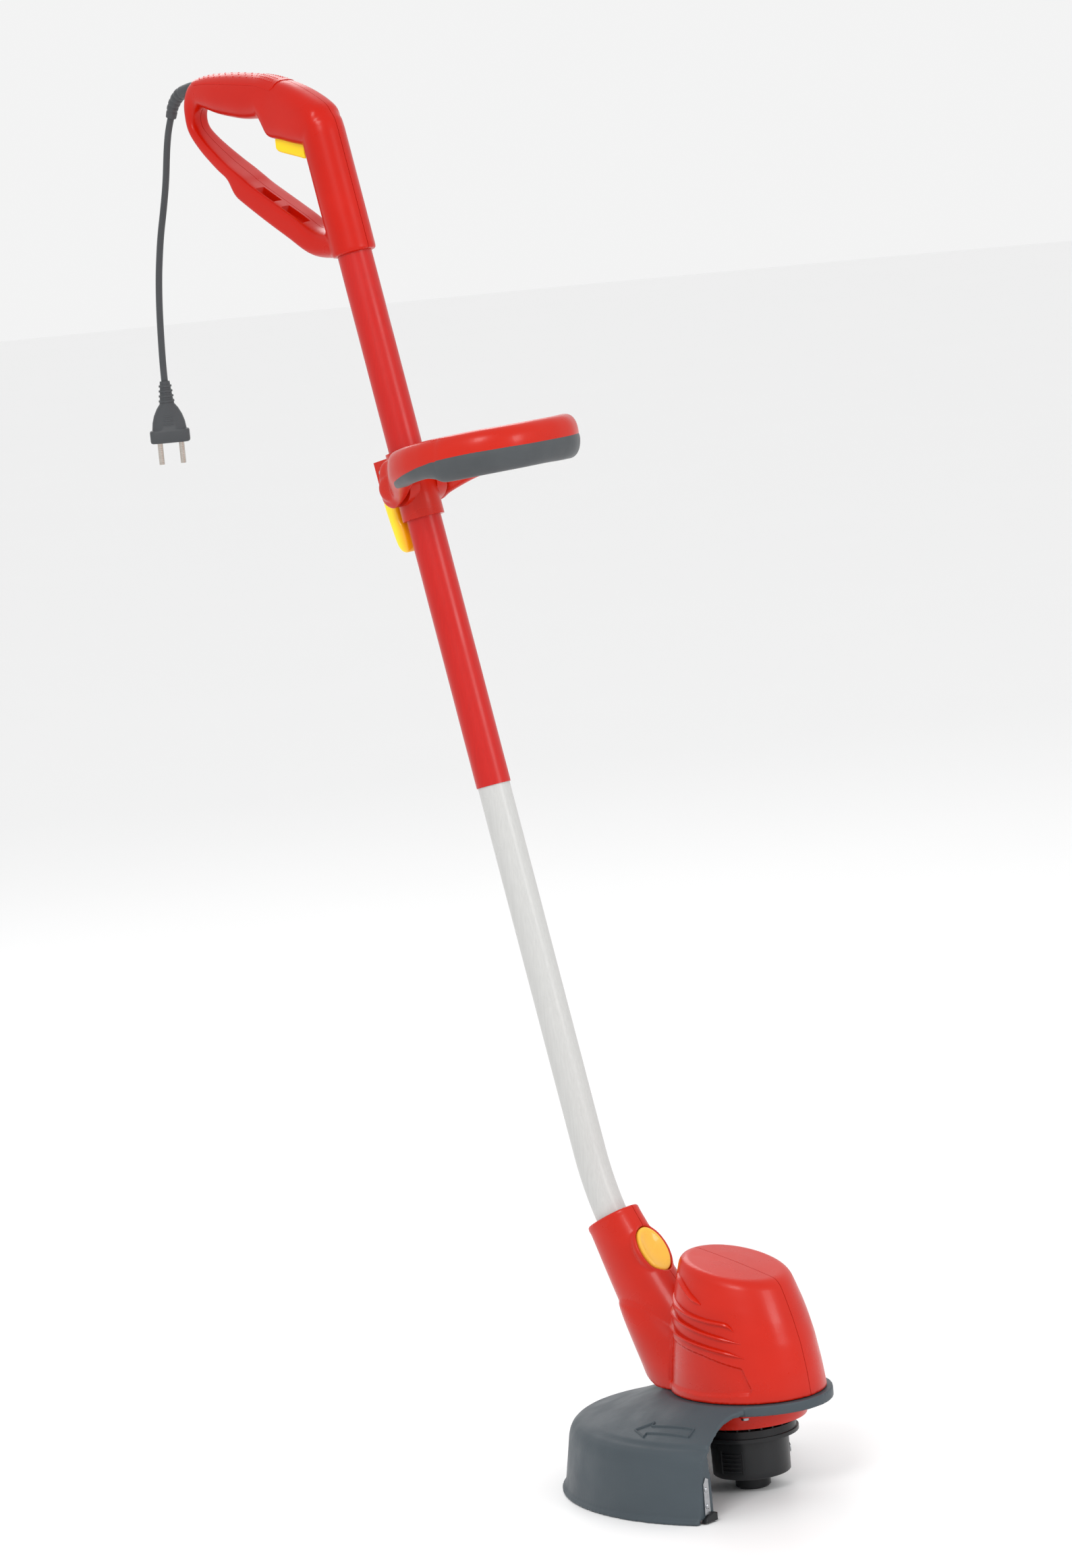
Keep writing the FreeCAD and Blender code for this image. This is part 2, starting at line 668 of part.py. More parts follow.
def line_head():
    """Spool housing with flange and ribs, cap with the button's hole, spool, line, spring and tap button."""
    bottom = S.cap_bottom
    top = S.cap_bottom + S.cap_height
    flange_top = top + S.flange_height + 0.6
    rib_top = 60.4
    hub = turned("spool_hub", [(S.shaft_radius, top - 6.0), (9.0, top - 6.0), (9.0, top + 0.6),
                               (S.flange_radius, top + 0.6), (S.flange_radius, flange_top),
                               (24.0, flange_top),
                               (24.0, rib_top), (S.shaft_radius, rib_top)])
    ribs = []
    for i in range(24):
        place = at(0, 0, flange_top, Vector(0, 0, 1), 15.0 * i)
        ribs.append(box("spool_rib_%d" % i, 16.0, 1.6, rib_top - flange_top.value, place.multiply(at(31.5,
                                                                                                     0, 0))))
    shroud = ring("spool_shroud", 40.5, 38.9, rib_top - flange_top.value - 4.0, at(0, 0, flange_top.value))
    finish(fuse("spool_housing", [hub, shroud] + ribs), "spool_housing")

    wall = 2.2
    cap = turned("cap_solid", [(S.button_radius + 0.4, bottom), (S.cap_radius - 0.8, bottom),
                               (S.cap_radius, bottom + 1.0), (S.cap_radius + 0.6, top + 0.6),
                               (S.cap_radius - wall, top + 0.6),
                               (S.cap_radius - wall, bottom + 2.4), (S.button_radius + 0.4, bottom + 2.4)])
    eye = cylinder("eyelet_hole", 3.2, 12.0, eyelet_place(28.0))
    finish(cut("spool_cap", cap, eye), "spool_cap")
    sleeve = cylinder("eyelet_sleeve", 3.2, 3.4, eyelet_place(30.2))
    rim = cylinder("eyelet_rim", 4.2, 0.8, eyelet_place(33.6))
    bore = cylinder("eyelet_bore", 1.6, 12.0, eyelet_place(28.0))
    finish(cut("line_eyelet", fuse("eyelet_solid", [sleeve, rim]), bore), "line_eyelet")

    spool = turned("spool_solid", [(11.0, 20.6), (27.5, 20.6), (27.5, 22.2), (14.2, 22.2), (14.2, 34.4),
                                   (27.5, 34.4),
                                   (27.5, 36.0), (11.0, 36.0)])
    finish(spool, "line_spool")
    line_radius = 1.0
    turns = []
    for layer in range(4):
        for row in range(5):
            turn = doc.addObject("Part::Torus", "line_turn_%d_%d" % (layer, row))
            turn.Radius1 = 15.4 + 2.2 * layer
            turn.Radius2 = line_radius
            turn.Placement = at(0, 0, 23.7 + 2.3 * row)
            turns.append(turn)
    finish(group("wound_line", turns), "wound_line")
    button = turned("button_solid", [(0, 0), (S.button_radius - 1.5, 0), (S.button_radius, 1.5),
                                     (S.button_radius, 18.4),
                                     (S.button_radius + 3.0, 18.4), (S.button_radius + 3.0, 20.2),
                                     (10.8, 20.2),
                                     (10.8, 33.0), (8.6, 33.0), (8.6, 4.0), (0, 4.0)])
    finish(button, "tap_button")
    coil(at(0, 0, 4.05), 5.6, 0.7, 35.9, 7, "tap_spring")


# ---------------------------------------------------------------- shaft

def bent_tube(name, radius, start, end):
    """Round bar: along the socket, round the bend and up the straight tube."""
    turn = S.socket_lean.value - S.tube_lean.value
    run = S.bend_radius.value * math.tan(math.radians(turn / 2))
    lower = cylinder(name + "_lower", radius, start - run, on_socket(start))
    upper = cylinder(name + "_upper", radius, end - run, on_tube(run))
    bend = doc.addObject("Part::Torus", name + "_bend")
    bind(bend, "Radius1", S.bend_radius)
    bind(bend, "Radius2", radius)
    bend.Angle3 = turn
    foot = on_socket(run).Base
    forward = SOCKET_TURN.multVec(Vector(1, 0, 0))
    centre = foot + forward * S.bend_radius.value
    back = forward * -1
    bend.Placement = FreeCAD.Placement(centre, frame_of(back, SOCKET_TURN.multVec(Vector(0, 0, 1))))
    return fuse(name, [lower, bend, upper])


def frame_of(x_dir, y_dir):
    """Rotation whose local X and Y lie along the given directions."""
    z_dir = x_dir.cross(y_dir)
    matrix = FreeCAD.Matrix(x_dir.x, y_dir.x, z_dir.x, 0, x_dir.y, y_dir.y, z_dir.y, 0,
                            x_dir.z, y_dir.z, z_dir.z, 0, 0, 0, 0, 1)
    return FreeCAD.Rotation(matrix)


TUBE_FOOT = 74.0


def shaft():
    """Silver tube bent into the socket, red tube over its upper end, cable through both."""
    junction = S.tube_junction.value
    outer = bent_tube("silver_outer", S.lower_tube_radius, TUBE_FOOT, junction + S.tube_overlap.value)
    inner = bent_tube("silver_inner", S.lower_tube_radius - S.lower_tube_wall, TUBE_FOOT + 1,
                      junction + S.tube_overlap.value + 1)
    finish(cut("lower_tube", outer, inner), "lower_tube")
    top = S.handle_foot.value + 84.0
    finish(ring("upper_tube", S.upper_tube_radius, S.upper_tube_radius - S.upper_tube_wall, top - junction,
                on_tube(junction)), "upper_tube")
    finish(bent_tube("shaft_cable", 3.5, TUBE_FOOT + 2.0, top + 6.0), "shaft_cable")
    lead = cylinder("lead_upper", 3.5, 38.0, on_socket(TUBE_FOOT + 2.3 + 38.0))
    finish(lead, "motor_lead")


# ---------------------------------------------------------------- front handle

LEVER_PIN = (-28.0, 17.5)


def front_handle():
    """Collar with lug and stub axles, loop with hubs, soft insert, cam lever, pin and hub screws."""
    place = on_tube(S.collar_at)
    half = S.collar_height.value / 2
    radius = S.collar_radius.value
    barrel = cylinder("collar_barrel", S.collar_radius, S.collar_height, at(0, 0, -half))
    pin_x, pin_z = LEVER_PIN
    lug = box("collar_lug", 22.5, 17.0, 20.0, at(-23.25, 0, pin_z - 10.0))
    pads = [cylinder_y("collar_pad_%d" % s, 17.0, -22.0 if s < 0 else 10.0, 12.0, 0.0, 0.0) for s in (-1,
                                                                                                      1)]
    stubs = [cylinder_y("collar_stub_%d" % s, 8.0, -30.0 if s < 0 else 10.0, 20.0, 0.0, 0.0) for s in (-1,
                                                                                                       1)]
    solid = fuse("collar_solid", [barrel, lug] + pads + stubs)
    bore = cylinder("collar_bore", S.upper_tube_radius + 0.1, 100.0, at(0, 0, -50.0))
    slot = box("lug_slot", 30.0, 9.4, 30.0, at(-33.5, 0, pin_z - 15.0))
    slit = box("collar_slit", 8.0, 2.0, 100.0, at(-18.0, 0, -50.0))
    pin_hole = cylinder_y("lug_pin_hole", 2.35, -12.0, 24.0, pin_x, pin_z)
    taps = [cylinder_y("stub_tap_%d" % s, 2.0, -31.0 if s < 0 else 19.0, 12.0, 0.0, 0.0) for s in (-1, 1)]
    collar = cut_all("clamp_collar", solid, [bore, slot, slit, pin_hole] + taps)
    collar.Placement = place
    finish(collar, "clamp_collar")

    pin = cylinder_y("lever_pin", 2.3, -9.2, 18.4, pin_x, pin_z)
    pin.Placement = place.multiply(pin.Placement)
    finish(pin, "lever_pin")
    cam = cylinder_y("lever_cam", 7.4, -4.4, 8.8, pin_x, pin_z)
    arm = slab("lever_arm", [[(-30.0, 20.0), (-35.3, 17.5)], [(-35.3, 17.5), (-34.0, 0.0), (-29.5, -44.0)],
                             [(-29.5, -44.0), (-25.0, -52.0), (-19.0, -54.0)], [(-19.0, -54.0),
                                                                                (-17.5, -30.0)],
                             [(-17.5, -30.0), (-19.0, 8.0)], [(-19.0, 8.0), (-30.0, 20.0)]], 8.8)
    wide = slab("lever_wide", [[(-33.0, -2.0), (-29.5, -44.0)], [(-29.5, -44.0), (-25.0, -52.0),
                                                                 (-19.0, -54.0)],
                               [(-19.0, -54.0), (-17.0, -6.0)], [(-17.0, -6.0), (-33.0, -2.0)]], 13.0)
    clear = [cylinder("lever_collar_clear", radius + 0.5, 2 * half + 1.0, at(0, 0, -half - 0.5)),
             cylinder("lever_tube_clear", S.upper_tube_radius + 0.6, 140.0, at(0, 0, -75.0))]
    eye = cylinder_y("lever_eye", 2.35, -12.0, 24.0, pin_x, pin_z)
    lever = cut_all("clamp_lever", fuse("lever_solid", [cam, arm, wide]), clear + [eye])
    lever.Placement = place
    finish(lever, "clamp_lever")

    loop_parts()
    screws = []
    for side in (-1, 1):
        turn = FreeCAD.Rotation(Vector(1, 0, 0), 90 * side)
        screw_place = place.multiply(FreeCAD.Placement(Vector(0, side * 30.0, 0), turn))
        screws.append(pan_screw("hub_screw_%d" % side, 2.0, 9.6, 10.0, screw_place, 2.0))
    finish(group("hub_screws", screws), "hub_screws")


# Side view of the loop relative to the collar's centre: top line, bottom line and the insert's top line.
LOOP_TOP = [(-12.0, 24.0), (20.0, 28.0), (50.0, 37.7), (85.0, 46.0), (120.0, 51.5), (140.0, 54.0),
            (170.0, 55.5)]
LOOP_BOTTOM = [(170.0, 28.5), (140.0, 24.0), (120.0, 18.6), (80.0, 9.1), (30.0, -6.3), (0.0, -18.0),
               (-12.0, -18.0)]
INSERT_TOP = [(38.0, -6.0), (46.0, 8.0), (62.0, 20.0), (85.0, 29.5), (120.0, 40.0), (140.0, 46.0),
              (170.0, 52.0)]
HUB_INNER = 22.4
HUB_THICK = 7.2


def loop_oval(name, inset):
    """Tall oval prism whose outline is the loop's, moved inwards by the inset."""
    return extruded_ellipse(name, S.loop_length_half - inset, S.loop_width_half - inset, S.loop_ahead,
                            -40.0, 120.0)


def loop_parts():
    """Oval loop with hubs on the collar's stubs, and the soft insert along its outer lower side."""
    side_view = slab("loop_side_view", [LOOP_TOP, [LOOP_TOP[-1], LOOP_BOTTOM[0]], LOOP_BOTTOM,
                                        [LOOP_BOTTOM[-1], LOOP_TOP[0]]], 200.0)
    band = common("loop_band", cut("loop_ring", loop_oval("loop_outer", 0.0), loop_oval("loop_inner",
                                                                                        S.loop_band)),
                  side_view)
    gap = box("loop_gap", 60.0, 2 * HUB_INNER, 120.0, at(0, 0, -60.0))
    open_band = cut("loop_open", band, gap)
    middle = HUB_INNER + HUB_THICK / 2
    joined = [open_band]
    bores = []
    for side in (-1, 1):
        start = side * middle - HUB_THICK / 2
        joined.append(cylinder_y("loop_hub_%d" % side, S.hub_radius, start, HUB_THICK, 0.0, 0.0))
        joined.append(slab("loop_arm_%d" % side, polygon([(-10.0, -17.0), (-10.0, 24.0), (0.0, 27.0),
                                                          (26.0, 29.0),
                                                          (26.0, -6.0), (10.0, -16.0)]), HUB_THICK,
                           side * middle))
        bores.append(cylinder_y("loop_bore_%d" % side, 8.05, start - 1.0, HUB_THICK + 2.0, 0.0, 0.0))
        face = HUB_INNER + HUB_THICK
        bores.append(cylinder_y("loop_head_clear_%d" % side, 10.2, face if side > 0 else -face - 20.0, 20.0,
                                0.0, 0.0))
    soft_side = slab("insert_side_view", [INSERT_TOP, [INSERT_TOP[-1], (170.0, 0.0)], [(170.0, 0.0),
                                                                                       (38.0, -30.0)],
                                          [(38.0, -30.0), INSERT_TOP[0]]], 200.0)
    shell_zone = cut("insert_zone", soft_side, loop_oval("insert_inner", S.insert_depth))
    centre = at(*on_tube(S.collar_at).Base)
    loop = cut_all("front_loop", fuse("loop_solid", joined), bores + [shell_zone])
    loop.Placement = centre
    finish(loop, "front_loop")
    insert = common("loop_grip_insert", open_band, shell_zone)
    insert.Placement = centre
    finish(insert, "loop_grip_insert")


# ---------------------------------------------------------------- main handle

# Outline of the handle in its middle plane, as smooth and straight stretches.
CREST = [(-528.0, 1186.0), (-521.0, 1199.0), (-495.0, 1204.6), (-460.0, 1204.2), (-416.0, 1198.0),
         (-376.0, 1185.5),
         (-355.0, 1175.8)]
FRONT = [(-355.0, 1175.8), (-347.2, 1158.0)]
FRONT_FOOT = (-321.6, 1049.5)
REAR_FOOT = (-359.4, 1040.6)
BAR_UNDER = [(-372.0, 1041.5), (-408.0, 1061.0), (-468.0, 1096.5)]
BAR_STEP = [(-468.0, 1096.5), (-476.0, 1112.0)]
BAR_REAR = [(-476.0, 1112.0), (-510.0, 1136.0), (-527.0, 1156.0), (-530.0, 1172.0), (-528.0, 1186.0)]
HAND_LOWER = [(-376.0, 1067.5), (-441.5, 1103.0), (-480.0, 1127.5), (-503.0, 1144.5), (-517.0, 1160.0),
              (-519.0, 1172.0), (-512.0, 1179.0)]
GRIP_UNDER = [(-512.0, 1179.0), (-494.0, 1171.0), (-462.0, 1164.4), (-427.0, 1163.0)]
BLOCK = [(-427.0, 1163.0), (-420.0, 1149.0), (-383.5, 1139.5)]
COLUMN_INSIDE = [(-383.5, 1139.5), (-369.0, 1071.0)]


def stretches(points):
    return [[points[i], points[i + 1]] for i in range(len(points) - 1)]


def handle_outline():
    return ([CREST, FRONT, [FRONT[1], FRONT_FOOT], [FRONT_FOOT, REAR_FOOT], [REAR_FOOT, BAR_UNDER[0]]]
            + stretches(BAR_UNDER) + [BAR_STEP, BAR_REAR])


def plan(name, inset):
    """Tall prism that narrows the handle towards its rear end."""
    wide = S.grip_width_half.value - inset
    slim = S.rear_width_half.value - inset
    return slab_z(name, [(-540.0, -slim), (-500.0, -wide + 1.5), (-470.0, -wide), (-330.0, -wide),
                         (-330.0, wide), (-470.0, wide), (-500.0, wide - 1.5), (-540.0, slim)], 1000.0,
                  300.0)


def hand_opening():
    return ([HAND_LOWER, GRIP_UNDER] + stretches(BLOCK) + [COLUMN_INSIDE, [COLUMN_INSIDE[1],
                                                                           HAND_LOWER[0]]])


HANDLE_SCREWS = [(-503.0, 1190.0), (-372.0, 1160.0), (-458.0, 1101.0), (-384.0, 1056.0)]
TRIGGER_PIN = (-378.0, 1150.0)
SWITCH_AT = (-404.0, 1158.0)


def handle():
    """Two half shells round the upper tube, with a cavity for the switch and a separate grip cover."""
    front = box("plan_front", 80.0, 80.0, 500.0, on_tube(S.handle_foot.value - 100.0, 40.0))
    column = cylinder("handle_column", S.column_radius, S.column_height, on_tube(S.handle_foot))
    sides = fuse("handle_sides", [cut("plan_behind", plan("handle_plan", 0.0), front), column])
    body = common("handle_body", slab("handle_side_view", handle_outline(), 80.0), sides)
    outer = cut("handle_outer", body, slab("handle_opening", hand_opening(), 80.0))
    grip = slab("grip_side_view", polygon([(-514.0, 1184.0), (-511.0, 1197.0), (-470.0, 1200.5),
                                           (-420.0, 1194.5),
                                           (-380.0, 1182.5), (-364.0, 1173.0), (-366.0, 1150.0),
                                           (-378.0, 1143.5),
                                           (-416.0, 1153.0), (-423.0, 1166.5), (-462.0, 1168.0),
                                           (-496.0, 1175.0)]), 80.0)
    bar = slab("bar_side_view", polygon([(-384.0, 1066.0), (-442.0, 1098.0), (-462.0, 1110.0),
                                         (-464.0, 1101.0),
                                         (-406.0, 1066.0), (-380.0, 1053.0)]), 80.0)
    cavity = common("handle_cavity", fuse("cavity_side_view", [grip, bar]), plan("cavity_plan",
                                                                                 S.handle_wall.value))
    bore = cylinder("handle_bore", S.upper_tube_radius + 0.1, 110.0, on_tube(S.handle_foot.value - 1.0))
    wire_way = cylinder("wire_way", 9.0, 50.0, on_tube(S.handle_foot.value + 80.0))
    mouth = box("trigger_mouth", 50.0, 13.2, 18.0, at(-395.0, 0, 1138.0))
    boot_hole = cylinder("boot_hole", BOOT_WIDE + 0.05, 30.0, boot_place(-6.0))
    bosses = [cylinder_y("handle_boss_%d" % i, 4.4, -15.0, 30.0, x, z) for i,
              (x, z) in enumerate(HANDLE_SCREWS)]
    hollow = cut_all("handle_hollow", outer, [cavity, wire_way, mouth])
    solid = fuse("handle_bossed", [hollow, common("handle_bosses", fuse("boss_bars", bosses), outer)])
    tools = [bore, boot_hole]
    tools += [cylinder_y("handle_screw_hole_%d" % i, S.screw_radius, -10.0, 40.0, x, z)
              for i, (x, z) in enumerate(HANDLE_SCREWS)]
    tools += [cylinder_y("handle_head_hole_%d" % i, S.screw_head + 0.2, 10.0, 20.0, x, z)
              for i, (x, z) in enumerate(HANDLE_SCREWS)]
    tools.append(cylinder_y("trigger_pin_hole", 2.0, -15.4, 30.8, *TRIGGER_PIN))
    slots = [slab("cable_slot_%d" % i, polygon(points), 10.0, -8.5) for i, points in enumerate(CABLE_SLOTS)]
    whole = cut_all("handle_whole", solid, tools + slots)
    cover_zone = slab("cover_zone", polygon(COVER_ZONE), 80.0)
    finish(common("grip_cover", whole, cover_zone), "grip_cover")
    shells = cut("handle_shells", whole, cover_zone)
    for side, label in ((1, "handle_shell_left"), (-1, "handle_shell_right")):
        finish(common(label, shells, half_space(label + "_side", side)), label)
    screws = []
    for i, (x, z) in enumerate(HANDLE_SCREWS):
        place = FreeCAD.Placement(Vector(x, 10.0, z), FreeCAD.Rotation(Vector(1, 0, 0), 90))
        screws.append(pan_screw("handle_screw_%d" % i, S.screw_radius, S.screw_head, 19.0, place))
    finish(group("handle_screws", screws), "handle_screws")


COVER_ZONE = [(-519.0, 1194.5), (-490.0, 1195.5), (-450.0, 1194.5), (-419.0, 1187.5), (-402.0, 1196.0),
              (-402.0, 1215.0),
              (-519.0, 1215.0)]
CABLE_SLOTS = [[(-441.0, 1110.0), (-416.0, 1097.0), (-418.0, 1086.9), (-439.0, 1098.3)],
               [(-409.0, 1093.0), (-381.0, 1078.0), (-383.0, 1068.0), (-407.0, 1080.9)]]


def handle_inside():
    """Trigger on its pin with its spring, switch, capacitor and the cord's clamp."""
    blade = slab("trigger_blade", polygon([(-419.5, 1146.5), (-384.5, 1138.5), (-380.0, 1139.5),
                                           (-372.5, 1147.0),
                                           (-374.0, 1154.5), (-382.0, 1154.5), (-388.0, 1150.0),
                                           (-412.0, 1153.0),
                                           (-416.0, 1150.5)]), 12.4)
    finger = slab("trigger_finger", polygon([(-419.5, 1147.5), (-385.0, 1139.5), (-386.0, 1127.5),
                                             (-418.0, 1135.5)]), 12.4)
    eye = cylinder_y("trigger_eye", 2.05, -12.0, 24.0, *TRIGGER_PIN)
    finish(cut("trigger", fuse("trigger_solid", [blade, finger]), eye), "trigger")
    finish(cylinder_y("trigger_pin", 2.0, -15.4, 30.8, *TRIGGER_PIN), "trigger_pin")
    x, z = SWITCH_AT
    case = box("switch_case", 26.0, 27.6, 16.0, at(x, 0, z + 4.0))
    plunger = cylinder("switch_plunger", 2.0, 4.0, at(x - 4.0, 0, z))
    finish(fuse("switch", [case, plunger]), "switch")
    finish(box("capacitor", 24.0, 27.6, 13.0, at(x - 36.0, 0, z + 16.0)), "capacitor")
    coil(at(x + 4.0, 0, 1151.95), 2.4, 0.5, 10.0, 3, "trigger_spring")
    base = box("clamp_base", 8.0, 22.0, 4.0, at(-489.0, 0, 1180.0))
    bridge = box("clamp_bridge", 8.0, 22.0, 3.0, at(-489.0, 0, 1191.2))
    finish(fuse("cord_clamp", [base, bridge] + [box("clamp_side_%d" % s, 8.0, 5.0, 8.0, at(-489.0, s * 8.5,
                                                                                           1183.5))
                                                for s in (-1, 1)]), "cord_clamp")


# ---------------------------------------------------------------- mains cord and plug

# Route of the boot out of the handle, then of the cord from the boot's mouth down to the plug.
BOOT_ROUTE = [(-517.0, 1192.9), (-530.5, 1191.2), (-543.0, 1187.6), (-552.12, 1179.0), (-557.0, 1168.5)]
CORD = [(-557.0, 1168.5), (-561.6, 1158.6), (-565.0, 1147.2), (-567.7, 1135.7), (-572.2, 1112.1),
        (-578.9, 1088.5),
        (-586.5, 1064.9), (-591.9, 1041.2), (-594.7, 1026.0), (-597.4, 1005.4), (-599.3, 981.5),
        (-600.4, 960.5),
        (-600.8, 948.0), (-600.8, 936.5)]
BOOT_WIDE = 6.6
BOOT_SLIM = 4.8


def boot_place(distance):
    """Place on the boot's first run, which leaves the handle backwards."""
    first = Vector(BOOT_ROUTE[0][0], 0, BOOT_ROUTE[0][1])
    along = Vector(BOOT_ROUTE[1][0], 0, BOOT_ROUTE[1][1]) - first
    turn = FreeCAD.Rotation(Vector(0, 0, 1), along)
    return FreeCAD.Placement(first + turn.multVec(Vector(0, 0, distance)), turn)


def rounded_path(points, name):
    """Straight runs joined by tangent arcs, each as large as its two runs allow."""
    places = [Vector(x, 0, z) for x, z in points]
    edges = []
    start = places[0]
    radii = []
    for i in range(1, len(places) - 1):
        before = places[i] - places[i - 1]
        after = places[i + 1] - places[i]
        shorter = min(before.Length, after.Length)
        turn = before.getAngle(after)
        radius = 0.45 * shorter / math.tan(turn / 2)
        radii.append(radius)
        reach = 0.45 * shorter
        before.normalize()
        after.normalize()
        enter = places[i] - before * reach
        leave = places[i] + after * reach
        inward = after - before
        inward.normalize()
        middle = places[i] + inward * (radius / math.cos(turn / 2) - radius)
        edges.append(Part.LineSegment(start, enter).toShape())
        edges.append(Part.Arc(enter, middle, leave).toShape())
        start = leave
    edges.append(Part.LineSegment(start, places[-1]).toShape())
    length = sum(edge.Length for edge in edges)
    print("%s: radii %s mm, length %.1f mm" % (name, ", ".join("%.0f" % r for r in radii), length))
    return Part.Wire(edges), length


def cord_tube():
    path, length = rounded_path(CORD, "power_cord")
    radius = S.cord_radius.value
    start = path.Edges[0]
    section = Part.Wire([Part.Circle(start.Vertexes[0].Point, start.tangentAt(start.FirstParameter),
                                     radius).toShape()])
    solid = path.makePipeShell([section], True, False)
    ideal = math.pi * radius ** 2 * length
    if abs(solid.Volume - ideal) > 0.01 * ideal:
        raise ValueError("the cord's volume %.0f is not its section times its length %.0f" % (solid.Volume,
                                                                                              ideal))
    cord = doc.addObject("Part::Feature", "power_cord")
    cord.Shape = solid
    finish(cord, "power_cord")


def cord_boot():
    """Tapered rubber boot that bends the cord down out of the handle."""
    path, _ = rounded_path(BOOT_ROUTE, "cord_boot")
    first = path.Edges[0]
    last = path.Edges[-1]
    wide = Part.Wire([Part.Circle(first.Vertexes[0].Point, first.tangentAt(first.FirstParameter),
                                   BOOT_WIDE).toShape()])
    slim = Part.Wire([Part.Circle(last.Vertexes[-1].Point, last.tangentAt(last.LastParameter),
                                   BOOT_SLIM).toShape()])
    boot = doc.addObject("Part::Feature", "cord_boot")
    boot.Shape = path.makePipeShell([wide, slim], True, False)
    finish(boot, "cord_boot")


PLUG_TURN = -44.4
PLUG_WEDGE = {"Xmin": -6.0, "Xmax": 6.0, "X2min": -4.8, "X2max": 4.8, "Ymin": 0.0, "Ymax": 23.0,
              "Zmin": -15.5, "Zmax": 15.5, "Z2min": -8.0, "Z2max": 8.0}


def plug():
    """Two-pin plug hanging on the cord: ribbed boot, tapering body, flange and two round pins."""
    end_x, end_z = CORD[-1]
    place = at(end_x, 0, end_z, Vector(0, 0, 1), PLUG_TURN)
    boot = cone("plug_boot", 6.6, 4.4, 20.5, place.multiply(at(0, 0, -20.5)))
    body = doc.addObject("Part::Wedge", "plug_wedge")
    for prop, size in PLUG_WEDGE.items():
        setattr(body, prop, size)
    body.Placement = place.multiply(FreeCAD.Placement(Vector(0, 0, -43.5), FreeCAD.Rotation(Vector(1, 0, 0),
                                                                                            90)))
    flange = box("plug_flange", 13.6, 35.3, 11.0, place.multiply(at(0, 0, -54.5)))
    finish(fuse("plug_body", [boot, body, flange]), "plug_body")
    pins = [cylinder("plug_pin_%d" % s, S.pin_radius, S.pin_length,
                     place.multiply(at(0, s * S.pin_spacing.value / 2, -54.5 - S.pin_length.value)))
            for s in (-1, 1)]
    finish(group("plug_pins", pins), "plug_pins")


# ---------------------------------------------------------------- build, check, write

motor_housing()
housing_screws()
head_button()
guard()
line_cutter()
bottom_cover()
motor()
line_head()
shaft()
front_handle()
handle()
handle_inside()
cord_tube()
cord_boot()
plug()

doc.recompute()
for item in doc.Objects:
    if "Invalid" in item.State or "Error" in item.State:
        raise RuntimeError("%s is %s" % (item.Name, item.State))
os.makedirs("parts", exist_ok=True)
for node in nodes:
    if node.Shape.isNull() or not node.Shape.isValid():
        raise RuntimeError("%s has a bad shape" % node.Label)
    print("%-22s solids %d volume %.0f" % (node.Label, len(node.Shape.Solids), node.Shape.Volume))
    node.Shape.exportStep("parts/%s.step" % node.Label)
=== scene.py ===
import json
import math

import bmesh
import bpy
import numpy as np
from mathutils import Matrix, Vector


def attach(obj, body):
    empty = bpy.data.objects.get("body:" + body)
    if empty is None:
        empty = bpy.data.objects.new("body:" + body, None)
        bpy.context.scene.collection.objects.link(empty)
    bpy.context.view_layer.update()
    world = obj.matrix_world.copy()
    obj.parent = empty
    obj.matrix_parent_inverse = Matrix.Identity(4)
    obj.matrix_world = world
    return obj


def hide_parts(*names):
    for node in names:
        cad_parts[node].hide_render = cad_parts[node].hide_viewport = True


# Electric string trimmer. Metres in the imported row's frame: +Z up, +X away from the user.
# Measures below are written in millimetres and turned into metres where a mesh is made.

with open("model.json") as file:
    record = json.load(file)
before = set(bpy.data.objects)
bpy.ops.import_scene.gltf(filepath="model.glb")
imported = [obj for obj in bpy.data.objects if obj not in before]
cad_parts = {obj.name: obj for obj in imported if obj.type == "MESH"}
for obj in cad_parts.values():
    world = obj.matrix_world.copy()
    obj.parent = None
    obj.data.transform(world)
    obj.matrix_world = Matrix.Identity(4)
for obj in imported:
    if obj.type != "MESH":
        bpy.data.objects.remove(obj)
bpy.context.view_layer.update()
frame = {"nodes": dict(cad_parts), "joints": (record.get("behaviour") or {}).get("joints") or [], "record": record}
MM = 0.001

# ---- places on the frame

JOINTS = {joint["name"]: joint for joint in frame["joints"]}


def joint_place(name):
    """Place of a joint in millimetres."""
    return Vector(JOINTS[name]["pos_m"]) / MM


def joint_axis(name):
    return Vector(JOINTS[name]["axis"]).normalized()


X_AXIS = Vector((1, 0, 0))
Y_AXIS = Vector((0, 1, 0))
UP = Vector((0, 0, 1))
BEND = joint_place("shaft_turn")
SOCKET_UP = joint_axis("shaft_turn")
TUBE_UP = joint_axis("front_handle_slide")
COLLAR = joint_place("loop_tilt")
SOCKET_FORWARD = Y_AXIS.cross(SOCKET_UP)
TUBE_FORWARD = Y_AXIS.cross(TUBE_UP)
TUBE_LEAN = math.radians(13.33)
# How far behind the collar's centre the lever's rear face is.
LEVER_DEPTH = 33.0


def on_tube(distance, forward):
    """Point up the tube from the bend, in the middle plane."""
    return BEND + TUBE_UP * distance + TUBE_FORWARD * forward


def on_socket(distance, forward=0.0):
    """Point down the head's socket from the bend, in the middle plane."""
    return BEND - SOCKET_UP * distance + SOCKET_FORWARD * forward


# ---- materials

def linear(red, green, blue):
    """sRGB bytes to linear colour."""
    values = [c / 255 for c in (red, green, blue)]
    return [c / 12.92 if c <= 0.04045 else ((c + 0.055) / 1.055) ** 2.4 for c in values] + [1.0]


